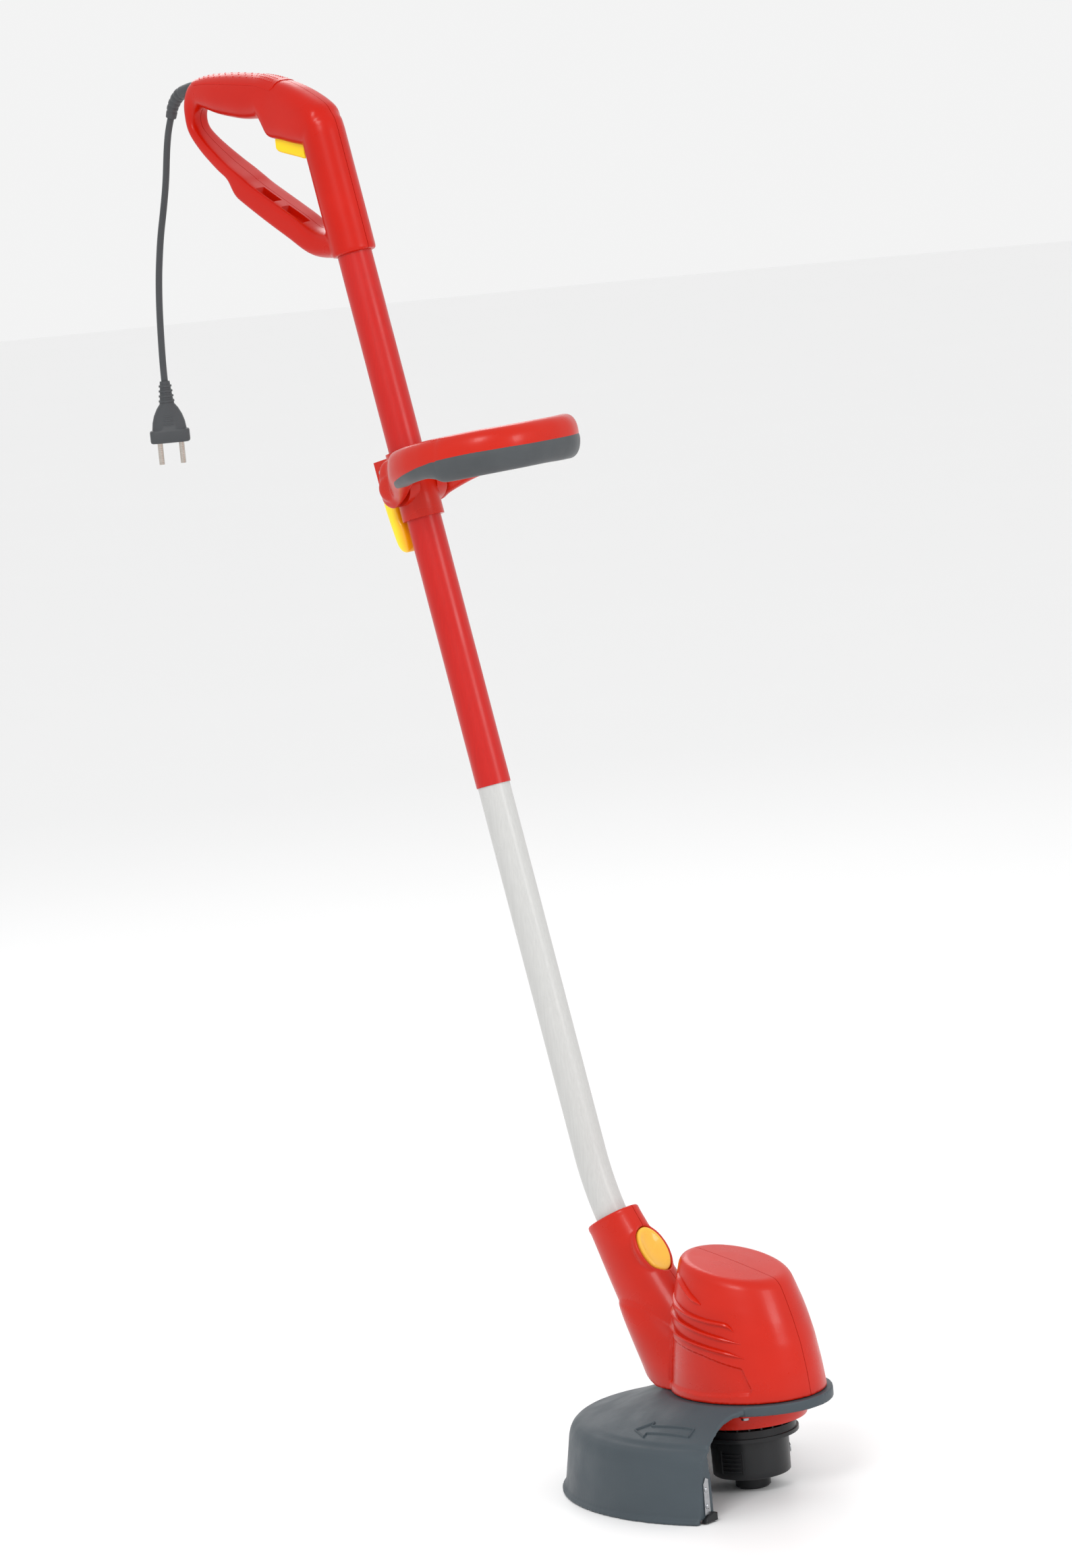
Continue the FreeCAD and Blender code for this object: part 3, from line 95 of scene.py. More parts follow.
class Surface:
    """A node material with helpers that add noise layers to one Principled shader."""

    def __init__(self, name, colour, roughness, metallic=0.0, coat=0.0, **values):
        self.material = bpy.data.materials.new(name)
        self.material.use_nodes = True
        self.nodes = self.material.node_tree.nodes
        self.wire = self.material.node_tree.links.new
        self.shader = self.nodes["Principled BSDF"]
        self.colour = linear(*colour)
        self.fill(self.shader, Base_Color=self.colour, Roughness=roughness, Metallic=metallic,
                  Coat_Weight=coat, **values)
        self.place = self.nodes.new("ShaderNodeTexCoord").outputs["Object"]
        self.material.diffuse_color = self.colour

    def fill(self, node, **values):
        """Sets inputs by name, with _ for a space."""
        for name, value in values.items():
            node.inputs[name.replace("_", " ")].default_value = value
        return node

    def add(self, kind, **values):
        return self.fill(self.nodes.new("ShaderNode" + kind), **values)

    def shade(self, factor):
        return [min(1.0, c * factor) for c in self.colour[:3]] + [1.0]

    def stretched(self, scale):
        mapping = self.add("Mapping", Scale=scale)
        self.wire(self.place, mapping.inputs["Vector"])
        return mapping.outputs["Vector"]

    def noise(self, scale, detail, vector=None):
        node = self.add("TexNoise", Scale=scale, Detail=detail)
        self.wire(vector or self.place, node.inputs["Vector"])
        return node.outputs["Fac"]

    def spread(self, value, low, high, start=0.35, end=0.65):
        node = self.add("MapRange", From_Min=start, From_Max=end, To_Min=low, To_Max=high)
        self.wire(value, node.inputs["Value"])
        return node.outputs["Result"]

    def ramp(self, value, *stops):
        node = self.add("ValToRGB")
        while len(node.color_ramp.elements) < len(stops):
            node.color_ramp.elements.new(0.5)
        for element, (position, colour) in zip(node.color_ramp.elements, stops):
            element.position = position
            element.color = colour
        self.wire(value, node.inputs["Fac"])
        return node.outputs["Color"]

    def mix(self, value, first, second):
        """Colour socket first where the value is 0, colour second where it is 1."""
        node = self.add("Mix")
        node.data_type = "RGBA"
        self.wire(value, node.inputs[0])
        self.wire(first, node.inputs[6])
        node.inputs[7].default_value = second
        return node.outputs[2]

    def set_colour(self, socket):
        self.wire(socket, self.shader.inputs["Base Color"])

    def set_roughness(self, socket):
        self.wire(socket, self.shader.inputs["Roughness"])

    def bump(self, *layers):
        """Layers are (height socket, strength, distance in metres)."""
        below = None
        for value, strength, distance in layers:
            node = self.add("Bump", Strength=strength, Distance=distance)
            self.wire(value, node.inputs["Height"])
            if below:
                self.wire(below, node.inputs["Normal"])
            below = node.outputs["Normal"]
        self.wire(below, self.shader.inputs["Normal"])

    def edges(self):
        """Convex edges as a value from 0 to 1."""
        return self.spread(self.add("NewGeometry").outputs["Pointiness"], 0.0, 1.0, 0.52, 0.58)


def moulded(name, colour, roughness, grain=900.0, depth=0.00006, coat=0.0, tint=0.06, shine=0.3):
    """Moulded plastic: fine spark-eroded grain, faint flow marks, and convex edges painted lighter as a highlight.
    """
    surface = Surface(name, colour, roughness, coat=coat, Specular_IOR_Level=shine)
    flow = surface.noise(9.0, 4.0, surface.stretched((1.0, 1.0, 2.2)))
    fine = surface.noise(grain, 2.0)
    base = surface.ramp(flow, (0.3, surface.shade(1.0 - tint)), (0.7, surface.shade(1.0 + tint)))
    # Painted highlight: convex edges get up to a tenth of a lighter copy of the colour, as if they caught light.
    edge_highlight = surface.spread(surface.edges(), 0.0, 0.10, 0.0, 1.0)
    surface.set_colour(surface.mix(edge_highlight, base, surface.shade(1.35)))
    surface.set_roughness(surface.spread(surface.noise(38.0, 5.0), roughness - 0.05, roughness + 0.07))
    surface.bump((fine, 0.35, depth), (surface.noise(55.0, 3.0), 0.12, 0.0002))
    return surface.material


def painted_tube(name, colour, roughness, flake):
    """Lacquered metal with orange peel and fine lengthwise drawing marks."""
    surface = Surface(name, colour, roughness, coat=0.12, Coat_Roughness=0.16, Specular_IOR_Level=0.3)
    peel = surface.noise(320.0, 2.0)
    drawn = surface.noise(60.0, 4.0, surface.stretched((14.0, 14.0, 0.4)))
    base = surface.ramp(drawn, (0.3, surface.shade(1.0 - flake)), (0.7, surface.shade(1.0 + flake)))
    surface.set_colour(base)
    surface.set_roughness(surface.spread(surface.noise(24.0, 4.0), roughness - 0.06, roughness + 0.08))
    surface.bump((peel, 0.2, 0.00008))
    return surface.material


def metal(name, colour, roughness, stretch=(40.0, 1.0, 1.0), depth=0.00004):
    """Bare metal with brushed lines."""
    surface = Surface(name, colour, roughness, metallic=1.0)
    brushed = surface.noise(180.0, 4.0, surface.stretched(stretch))
    surface.set_colour(surface.ramp(brushed, (0.25, surface.shade(0.86)), (0.75, surface.shade(1.08))))
    surface.set_roughness(surface.spread(brushed, roughness - 0.08, roughness + 0.1))
    surface.bump((brushed, 0.3, depth))
    return surface.material


def rubbery(name, colour, roughness, grain):
    """Soft moulded rubber with a matt grain and dusty high spots."""
    surface = Surface(name, colour, roughness, Sheen_Weight=0.12, Sheen_Roughness=0.5)
    dust = surface.noise(16.0, 5.0)
    surface.set_colour(surface.ramp(dust, (0.3, surface.shade(0.88)), (0.75, surface.shade(1.16))))
    surface.set_roughness(surface.spread(surface.noise(44.0, 4.0), roughness - 0.07, roughness + 0.08))
    surface.bump((surface.noise(grain, 3.0), 0.5, 0.00012), (surface.noise(70.0, 2.0), 0.15, 0.0003))
    return surface.material


def lever_plastic():
    """Glossy yellow that deepens to orange towards the tube; the paler rear is partly the lever's own tone and
    partly painted light, where the rear edge catches light.
    """
    surface = Surface("lever_yellow", (246, 178, 0), 0.28, coat=0.3)
    slope = math.tan(TUBE_LEAN)
    split = surface.add("SeparateXYZ")
    surface.wire(surface.place, split.inputs[0])
    toward = surface.add("Math")
    toward.operation = "MULTIPLY_ADD"
    toward.inputs[1].default_value = slope
    surface.wire(split.outputs["Z"], toward.inputs[0])
    surface.wire(split.outputs["X"], toward.inputs[2])
    rear = (COLLAR.x + COLLAR.z * slope - LEVER_DEPTH) * MM
    # Partly painted light: the rear edge is painted paler yellow, as where it catches light, on top of the lever's
    # own yellow-to-orange tone.
    tone_and_light_blend = surface.spread(toward.outputs[0], 0.0, 1.0, rear, rear + 0.017)
    surface.set_colour(surface.ramp(tone_and_light_blend, (0.15, linear(255, 226, 0)), (0.5, linear(250, 190, 0)),
                                    (0.9, linear(236, 146, 4))))
    surface.set_roughness(surface.spread(surface.noise(40.0, 4.0), 0.22, 0.36))
    surface.bump((surface.noise(700.0, 2.0), 0.2, 0.00005))
    return surface.material


MATERIALS = {
    "red_plastic": moulded("red_moulded", (192, 26, 0), 0.3, coat=0.06),
    "red_handle": moulded("red_handle_moulded", (190, 20, 0), 0.32, coat=0.04, shine=0.24),
    "red_paint": painted_tube("red_lacquer", (188, 21, 13), 0.34, 0.05),
    "silver_tube": painted_tube("silver_anodised", (194, 194, 192), 0.3, 0.04),
    "guard_plastic": moulded("guard_grey", (66, 75, 81), 0.46, grain=420.0, depth=0.00022, tint=0.08),
    "black_plastic": moulded("black_moulded", (33, 34, 36), 0.36, grain=700.0, tint=0.12),
    "yellow_plastic": moulded("trigger_yellow", (255, 214, 0), 0.3, coat=0.2, tint=0.03),
    "amber_plastic": moulded("button_amber", (240, 184, 62), 0.27, coat=0.35, tint=0.05),
    "lever_plastic": lever_plastic(),
    "soft_grip": rubbery("insert_grey", (64, 68, 71), 0.62, 520.0),
    "cord_rubber": rubbery("cord_grey", (58, 61, 64), 0.55, 700.0),
    "steel": metal("bright_steel", (172, 174, 177), 0.28),
    "screw_steel": metal("zinc_screw", (150, 152, 156), 0.34),
    "spring_steel": metal("spring_wire", (160, 162, 165), 0.3),
    "lamination": metal("stacked_iron", (120, 122, 126), 0.45, (1.0, 1.0, 60.0), 0.0001),
    "copper": metal("varnished_copper", (184, 98, 48), 0.32, (1.0, 40.0, 40.0), 0.0002),
    "nickel": metal("nickel_plate", (196, 188, 180), 0.25, (1.0, 1.0, 30.0)),
    "brass": metal("turned_brass", (206, 176, 120), 0.27, (1.0, 1.0, 30.0)),
    "carbon": moulded("brush_carbon", (34, 34, 36), 0.6),
    "line_nylon": moulded("line_orange", (226, 92, 24), 0.3, coat=0.2),
    "zinc_bracket": metal("cast_bracket", (168, 170, 174), 0.42, (1.0, 1.0, 1.0), 0.00012),
    "switch_plastic": moulded("switch_black", (36, 37, 40), 0.42),
    "film_capacitor": moulded("capacitor_ochre", (206, 170, 60), 0.35),
}


# ---- mesh building

# Half the gap between two moulded halves, and the grain of the voxel skins.
HALF_SEAM = 0.26
VOXEL = 1.25
FINE_VOXEL = 1.2


def linked(name, data):
    """New object in the scene's collection."""
    obj = bpy.data.objects.new(name, data)
    bpy.context.scene.collection.objects.link(obj)
    return obj


def new_piece(name, verts, faces, smooth=True):
    """Closed mesh from millimetre points."""
    mesh = bpy.data.meshes.new(name)
    mesh.from_pydata([tuple(Vector(v) * MM) for v in verts], [], faces)
    mesh.validate()
    work = bmesh.new()
    work.from_mesh(mesh)
    bmesh.ops.remove_doubles(work, verts=work.verts, dist=1e-7)
    bmesh.ops.recalc_face_normals(work, faces=work.faces)
    work.to_mesh(mesh)
    work.free()
    obj = linked(name, mesh)
    for polygon in mesh.polygons:
        polygon.use_smooth = smooth
    return obj


def dress(obj, body, slot, *nodes):
    """Material, body and replaced CAD nodes of a finished piece."""
    obj.data.materials.clear()
    obj.data.materials.append(MATERIALS[slot])
    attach(obj, body)
    if nodes:
        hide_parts(*nodes)
    return obj


def rings_mesh(rings, around_closed=False):
    """Points and faces through a row of rings with equal counts."""
    count = len(rings[0])
    verts = [tuple(point) for ring in rings for point in ring]
    faces = []
    last = len(rings) if around_closed else len(rings) - 1
    for i in range(last):
        first, second = i * count, ((i + 1) % len(rings)) * count
        for j in range(count):
            k = (j + 1) % count
            faces.append((first + j, first + k, second + k, second + j))
    if not around_closed:
        faces.append(tuple(range(count)))
        faces.append(tuple(range((len(rings) - 1) * count, len(rings) * count)))
    return verts, faces


def loft(name, rings, around_closed=False):
    """Piece through a row of rings, closed at the ends or round to the first ring."""
    return new_piece(name, *rings_mesh(rings, around_closed))


def round_bar(name, centres, first, second, radius, count):
    """Straight round bar through its centres, as a cutting tool."""
    return loft(name, [oval(centre, first, second, radius, radius, 2.0, count) for centre in centres])


def squared(angle, squareness):
    """Cosine and sine on a unit superellipse."""
    sides = math.cos(angle), math.sin(angle)
    return [math.copysign(abs(value) ** (2 / squareness), value) for value in sides]


def oval(centre, first, second, a, b, squareness, count):
    """Superellipse ring; squareness 2 is an ellipse, larger is squarer."""
    points = []
    for i in range(count):
        angle = 2 * math.pi * i / count
        u, v = squared(angle, squareness)
        points.append(Vector(centre) + Vector(first) * (a * u) + Vector(second) * (b * v))
    return points


def smooth_rows(rows, steps):
    """Catmull-Rom through rows of numbers, with the ends kept."""
    rows = np.array(rows, float)
    padded = np.vstack([2 * rows[0] - rows[1], rows, 2 * rows[-1] - rows[-2]])
    result = []
    for i in range(1, len(padded) - 2):
        p0, p1, p2, p3 = padded[i - 1:i + 3]
        for t in np.arange(steps) / steps:
            result.append(0.5 * (2 * p1 + (p2 - p0) * t + (2 * p0 - 5 * p1 + 4 * p2 - p3) * t ** 2
                                 + (3 * p1 - p0 - 3 * p2 + p3) * t ** 3))
    result.append(rows[-1])
    return np.array(result)


def side_prism(name, outline, low, high):
    """Prism across Y from an outline of (x, z) corners."""
    return loft(name, [[(x, low, z) for x, z in outline], [(x, high, z) for x, z in outline]])


def cut_away(obj, tools):
    """Boolean difference, applied at once."""
    for tool in tools:
        cutter = obj.modifiers.new("cut", "BOOLEAN")
        cutter.operation = "DIFFERENCE"
        cutter.solver = "EXACT"
        cutter.object = tool
    settle(obj)
    for tool in tools:
        bpy.data.objects.remove(tool)
    return obj


def settle(obj):
    """Applies every modifier."""
    bpy.context.view_layer.update()
    shaped = obj.evaluated_get(bpy.context.evaluated_depsgraph_get())
    mesh = bpy.data.meshes.new_from_object(shaped)
    obj.modifiers.clear()
    obj.data = mesh
    return obj


def finished(name, work):
    """New object from an edited mesh."""
    mesh = bpy.data.meshes.new(name)
    work.to_mesh(mesh)
    work.free()
    return linked(name, mesh)


def joined(name, objects):
    """One object with the meshes of several."""
    work = bmesh.new()
    for item in objects:
        work.from_mesh(item.data)
        bpy.data.objects.remove(item)
    return finished(name, work)


def merged(obj, voxel, rounds):
    """Overlapping solids become one skin with softened edges."""
    skin = obj.modifiers.new("skin", "REMESH")
    skin.mode = "VOXEL"
    skin.voxel_size = voxel * MM
    skin.use_smooth_shade = True
    soft = obj.modifiers.new("soften", "SMOOTH")
    soft.factor = 0.5
    soft.iterations = rounds
    return settle(obj)


def half_of(obj, name, side):
    """The part of a closed mesh on one side of the middle plane, closed again, half a seam away."""
    work = bmesh.new()
    work.from_mesh(obj.data)
    everything = work.verts[:] + work.edges[:] + work.faces[:]
    result = bmesh.ops.bisect_plane(work, geom=everything, plane_co=(0, side * HALF_SEAM * MM, 0),
                                    plane_no=(0, side, 0), clear_inner=True)
    edges = [item for item in result["geom_cut"] if isinstance(item, bmesh.types.BMEdge)]
    bmesh.ops.triangle_fill(work, use_beauty=True, edges=edges)
    bmesh.ops.recalc_face_normals(work, faces=work.faces)
    return crisp(finished(name, work), 40.0)


def crisp(obj, angle):
    """Smooth shading with edges sharper than the angle kept crisp."""
    work = bmesh.new()
    work.from_mesh(obj.data)
    limit = math.radians(angle)
    for edge in work.edges:
        edge.smooth = not (edge.is_manifold and edge.calc_face_angle(0.0) > limit)
    for face in work.faces:
        face.smooth = True
    work.to_mesh(obj.data)
    work.free()
    return obj


# Section of a raised bar: across and up, as parts of its width and height.
BAR_SECTION = ((-0.5, -1.0), (0.5, -1.0), (0.5, 0.2), (0.28, 0.85), (0.0, 1.0), (-0.28, 0.85), (-0.5, 0.2))


def bar_along(points, width, height, outward, taper):
    """Rounded bar along points, its height along each point's outward direction, its ends tapering."""
    rings = []
    count = len(points)
    for i, point in enumerate(points):
        ahead = (Vector(points[min(i + 1, count - 1)]) - Vector(points[max(i - 1, 0)])).normalized()
        out = Vector(outward[i]).normalized()
        across = ahead.cross(out).normalized()
        position = i / (count - 1)
        size = 1.0 - (1.0 - taper) * max(0.0, abs(2 * position - 1) - 0.6) / 0.4
        rings.append([Vector(point) + across * width * size * c + out * height * size * h
                      for c, h in BAR_SECTION])
    return rings_mesh(rings)


def add_mesh(verts, faces, more_verts, more_faces):
    """Adds points and faces to lists of them."""
    start = len(verts)
    verts.extend(more_verts)
    faces.extend(tuple(start + i for i in face) for face in more_faces)


# ---- rear handle

# Stations round the closed handle, from the column's top over the grip and back along the lower bar:
# outer x, outer z, inner x, inner z, half width, squareness.
HANDLE = [
    (-353.5, 1168, -362, 1132, 14, 2.2), (-357, 1172.5, -366, 1134, 17.6, 2.5),
    (-362, 1176.2, -371, 1136, 19, 2.7), (-372, 1181.8, -382, 1139, 19.2, 3),
    (-385, 1188.2, -395, 1141.2, 18.6, 3.1), (-399, 1193.6, -410, 1144.2, 17.6, 3.1),
    (-411, 1196.8, -423.5, 1146.6, 16.8, 3.1), (-419, 1198.9, -427, 1151, 16.6, 2.9),
    (-427, 1200.5, -430.5, 1157.5, 16.4, 2.6), (-436, 1201.4, -436.5, 1163.2, 16.3, 2.3),
    (-460, 1203.3, -460, 1164, 16.3, 2.2), (-485, 1203.8, -487, 1168.5, 15.6, 2.2),
    (-505, 1202.4, -502, 1173, 14, 2.3), (-521, 1197.5, -511, 1176, 12.4, 2.6),
    (-529, 1184, -517, 1171.5, 11.2, 3), (-530, 1170, -518.5, 1163, 10.8, 3.3),
    (-526, 1154.5, -515, 1156, 11.4, 3.4), (-511, 1138, -503, 1145, 13, 4.2),
    (-490, 1121.5, -484, 1131, 14.8, 5.5), (-477, 1112.5, -471, 1122.5, 15.8, 6),
    (-468.5, 1098.5, -459, 1115, 16.5, 6), (-457, 1090.3, -448, 1107.8, 16.8, 6),
    (-430, 1074, -420, 1092.2, 17, 6), (-405, 1059.5, -396, 1079, 17, 5.5),
    (-380, 1044, -376, 1067.5, 17, 2.8), (-356, 1041.5, -352, 1064, 16.5, 2.2)]
COLUMN_FOOT = 821.3
COLUMN_RADIUS = 19.3
# Rounded top of the column: distance up the tube, radius, forward shift.
COLUMN_TOP = [(928, 19.3, 0), (936, 19, -0.2), (942, 17.6, -1.2), (947, 14, -4), (950, 9, -6)]
TRIGGER_MOUTH = [(-421, 1157), (-376, 1157), (-370, 1150), (-380, 1132), (-421, 1136)]
MOUTH_HALF = 6.8
CABLE_SLOTS = [[(-447, 1122), (-420.5, 1108), (-422, 1088), (-441, 1096)],
               [(-416.5, 1106), (-386, 1090), (-389, 1071), (-412, 1082)]]


def station(row):
    """Centre of a handle's station, and from there to its outer crest."""
    outer, inner = Vector((row[0], 0, row[1])), Vector((row[2], 0, row[3]))
    return (outer + inner) / 2, (outer - inner) / 2


def handle_ring(row):
    centre, along = station(row)
    return oval(centre, along.normalized(), Y_AXIS, along.length, row[4], row[5], 40)


def handle_column():
    """Sleeve round the tube's end, with a chamfered foot and a rounded top."""
    levels = [(COLUMN_FOOT, COLUMN_RADIUS - 1.0, 0.0), (COLUMN_FOOT + 1.5, COLUMN_RADIUS, 0.0)]
    levels += [(distance, COLUMN_RADIUS, 0.0) for distance in (840.0, 860.0, 880.0, 900.0, 920.0)]
    return loft("column", [oval(on_tube(u, forward), TUBE_FORWARD, Y_AXIS, radius, radius, 2.0, 56)
                           for u, radius, forward in levels + COLUMN_TOP])


def handle_body():
    """Grip, rear bow, lower bar and column in one skin, with the cable slots and the trigger's mouth."""
    ring = loft("handle_ring", [handle_ring(row) for row in smooth_rows(HANDLE, 5)])
    ring = cut_away(ring, [side_prism("mouth", TRIGGER_MOUTH, -MOUTH_HALF, MOUTH_HALF)])
    skin = merged(joined("handle_skin", [ring, handle_column()]), VOXEL, 6)
    return cut_away(skin, [side_prism("slot_%d" % i, outline, -13.0, -3.0)
                           for i, outline in enumerate(CABLE_SLOTS)])


# Grip cover: its ends along the grip in x, half its reach round the crest in degrees, thickness above
# and below the handle's skin, and the raised dots' rows in degrees and profile of height and radius.
COVER_FROM, COVER_TO = -406, -517
COVER_REACH = 58.0
COVER_LIFT, COVER_SINK = 0.55, -1.6
COVER_COLUMNS = 25
DOT_ROWS = (-30, -18, -6, 6, 18, 30)
DOT_PROFILE = ((-0.3, 0.95), (0.02, 0.9), (0.22, 0.62), (0.3, 0.25))


def grip_point(row, degrees, lift):
    """Point round a station of the handle, lifted off its skin; 0 degrees is the outer crest."""
    centre, along = station(row)
    angle = math.radians(degrees)
    u, v = squared(angle, row[5])
    flat = along.normalized() * (along.length * u) + Y_AXIS * (row[4] * v)
    normal = (along.normalized() * math.cos(angle) + Y_AXIS * math.sin(angle)).normalized()
    return centre + flat + normal * lift


def cover_ring(row, reach):
    """Ring of the cover at one station: thin at both side edges."""
    angles = [reach * (2 * j / (COVER_COLUMNS - 1) - 1) for j in range(COVER_COLUMNS)]
    top = [grip_point(row, a, COVER_LIFT - 0.35 * max(0.0, abs(a / reach) - 0.92) / 0.08) for a in angles]
    return top + [grip_point(row, a, COVER_SINK) for a in reversed(angles)]


def grip_dot(row, degrees):
    """Points and faces of one raised dot."""
    centre = grip_point(row, degrees, COVER_LIFT)
    normal = (grip_point(row, degrees, 2.0) - centre).normalized()
    ahead = Y_AXIS.cross(normal).normalized()
    side = normal.cross(ahead)
    return rings_mesh([oval(centre + normal * h, ahead, side, r, r, 2.0, 10) for h, r in DOT_PROFILE])


def grip_cover():
    """Separate cover along the grip's crest, with staggered rows of raised dots."""
    rows = smooth_rows(HANDLE, 12)
    start = next(i for i, row in enumerate(rows) if row[0] < COVER_FROM)
    stop = next(i for i, row in enumerate(rows) if row[0] < COVER_TO)
    rows = rows[start:stop]
    rings = []
    for i, row in enumerate(rows):
        end = min(i, len(rows) - 1 - i)
        rings.append(cover_ring(row, COVER_REACH * min(1.0, 0.82 + 0.06 * end)))
    verts, faces = rings_mesh(rings)
    for i in range(6, len(rows) - 6, 4):
        for j, degrees in enumerate(DOT_ROWS):
            add_mesh(verts, faces, *grip_dot(rows[i + (2 if j % 2 else 0)], degrees))
    return crisp(new_piece("grip_cover_dotted", verts, faces), 45.0)


# Trigger's stations: x, upper and lower edge in z; half width and squareness. Its tail reaches the pin.
TRIGGER = [(-419.6, 1147.8, 1136.2), (-416.5, 1149.6, 1134.2), (-405, 1151.6, 1131.6),
           (-394, 1149.6, 1129.3), (-387.5, 1147.5, 1127.8), (-384.8, 1147, 1129)]
TRIGGER_HALF, TRIGGER_SQUARE = 6.1, 5.0
TRIGGER_TAIL = [(-390, 1152.5), (-372.5, 1152.5), (-372.5, 1146.5), (-380, 1140), (-390, 1142)]


def trigger():
    """Finger lever with rounded edges and a tail inside the handle."""
    rings = []
    for x, top, low in smooth_rows(TRIGGER, 4):
        centre = Vector((x, 0, (top + low) / 2))
        rings.append(oval(centre, UP, Y_AXIS, (top - low) / 2, TRIGGER_HALF, TRIGGER_SQUARE, 36))
    body = loft("trigger_rounded", rings)
    tail = side_prism("trigger_tail", TRIGGER_TAIL, -5.4, 5.4)
    return crisp(joined("trigger_rounded", [body, tail]), 35.0)


def rear_handle():
    """Two handle halves, the grip cover and the trigger."""
    skin = handle_body()
    left = half_of(skin, "handle_left", 1)
    right = half_of(skin, "handle_right", -1)
    bpy.data.objects.remove(skin)
    dress(left, "shaft", "red_handle", "handle_shell_left")
    dress(right, "shaft", "red_handle", "handle_shell_right")
    dress(grip_cover(), "shaft", "red_handle", "grip_cover")
    dress(trigger(), "trigger_lever", "yellow_plastic", "trigger")


# ---- front loop

# Loop's centre line for the near side, relative to the collar's centre:
# x, y, z, half thickness across, half height.
LOOP = [(-10.5, -27.2, 3.2, 4.4, 15.5), (-6, -27.2, 3.4, 5, 19.5), (2, -27.5, 4.2, 5.6, 21.5),
        (12, -30.5, 9.2, 7.8, 20), (28, -42.5, 16, 10.6, 17.5), (46, -55.8, 21.8, 11.8, 15.8),
        (66, -62.8, 26.8, 12, 15.5), (84, -64.4, 30.2, 12, 15.5), (96, -63.7, 31, 12, 16.8),
        (103, -62.8, 30.4, 12, 18.4), (112, -61.4, 31.4, 12, 18.8), (134, -51.2, 34.6, 12, 18.8),
        (149, -33.5, 36.5, 11.8, 18.5), (154.2, -16.5, 37.2, 11.6, 18.4), (155.2, 0, 37.4, 11.5, 18.3)]
# Hub cap: distance from the middle plane and radius; then the hub's bore.
HUB = ((22.6, 10.5), (24, 11), (31.5, 11), (33.2, 10.4), (34.3, 8.6), (34.7, 5))
HUB_BORE_RADIUS = 8.3
HUB_BORE_ENDS = (20.0, 33.2)
# Grey insert: x and the angle of its upper edge, which climbs to the loop's top at the front.
INSERT_TOP = [(40, -60), (46, -42), (66, -28), (88, -12), (100, -1), (112, 3), (134, 4), (149, 4),
              (156, 3)]
INSERT_FROM = 38.0
INSERT_LOW = -102.0
INSERT_COLUMNS = 22


def loop_rows(steps):
    """Stations of the whole loop, the far side mirrored from the near side."""
    mirrored = [(x, -y, z, w, h) for x, y, z, w, h in reversed(LOOP[:-1])]
    return smooth_rows(LOOP + mirrored, steps)


def loop_frames(rows):
    """Centre, outward direction, half thickness, half height and x for each row."""
    frames = []
    count = len(rows)
    for i in range(count):
        here, before, after = rows[i], rows[max(i - 1, 0)], rows[min(i + 1, count - 1)]
        ahead = Vector((after[0] - before[0], after[1] - before[1], 0)).normalized()
        frames.append((COLLAR + Vector(here[:3]), ahead.cross(UP), here[3], here[4], here[0]))
    return frames


def loop_point(centre, outward, wide, tall, degrees, lift=0.0):
    """Point of the loop's section, lifted off its skin; 0 degrees is outward and 90 is up."""
    angle = math.radians(degrees)
    side, rise = squared(angle, 2.5)
    normal = (outward * math.cos(angle) + UP * math.sin(angle)).normalized()
    return centre + outward * wide * side + UP * tall * rise + normal * lift


def front_loop():
    """Red loop with capped hubs, and the soft grey insert round its outer lower side."""
    frames = loop_frames(loop_rows(6))
    count = 40
    band = loft("loop_band", [[loop_point(*item[:4], 360.0 * j / count) for j in range(count)]
                              for item in frames])
    hubs = [loft("hub_%d" % side, [oval(COLLAR + Y_AXIS * (side * y), X_AXIS, UP, r, r, 2.0, 40)
                                   for y, r in HUB]) for side in (-1, 1)]
    loop = merged(joined("loop_skin", [band] + hubs), VOXEL, 5)
    loop.name = "front_loop_shell"
    bores = [round_bar("hub_bore_%d" % side, [COLLAR + Y_AXIS * (side * y) for y in HUB_BORE_ENDS],
                       X_AXIS, UP, HUB_BORE_RADIUS, 32) for side in (-1, 1)]
    loop = cut_away(loop, bores)
    dress(crisp(loop, 50.0), "loop", "red_plastic", "front_loop")
    dress(loop_insert(frames), "loop", "soft_grip", "loop_grip_insert")


def loop_insert(frames):
    """Grey insert from the lower side near the hubs up to the top edge at the front."""
    xs, tops = zip(*INSERT_TOP)
    rings = []
    used = [item for item in frames if item[4] > INSERT_FROM]
    for i, (centre, outward, wide, tall, x) in enumerate(used):
        end = min(1.0, min(i, len(used) - 1 - i) / 3)
        top = float(np.interp(x, xs, tops))
        low = INSERT_LOW + (1.0 - end) * 30.0
        angles = [low + (top - low) * j / (INSERT_COLUMNS - 1) for j in range(INSERT_COLUMNS)]
        skin = []
        for j, angle in enumerate(angles):
            edge = min(j, INSERT_COLUMNS - 1 - j) / 2
            lift = 0.75 * math.sqrt(min(1.0, edge)) * (0.4 + 0.6 * end) if edge else -0.25
            skin.append(loop_point(centre, outward, wide, tall, angle, lift))
        rings.append(skin + [loop_point(centre, outward, wide, tall, a, -1.5) for a in reversed(angles)])
    return crisp(loft("loop_insert_soft", rings), 50.0)


# Lever's stations: distance above the collar's centre, rear and front reach, half width.
LEVER = [(24.2, -31, -27, 3.2), (22, -34, -22.5, 4.2), (17, -35.2, -21.2, 4.35), (8, -36, -21, 4.35),
         (2, -37.6, -21.4, 4.6), (-3, -38.6, -22.4, 6.2), (-9, -38.6, -23, 7.4), (-25, -37, -22.6, 7.8),
         (-31, -36.4, -21, 7.8), (-42, -35, -20.6, 7.8), (-48, -33.6, -20.8, 7.5),
         (-52, -31, -21.8, 6.6), (-54, -28, -23.4, 4.6)]


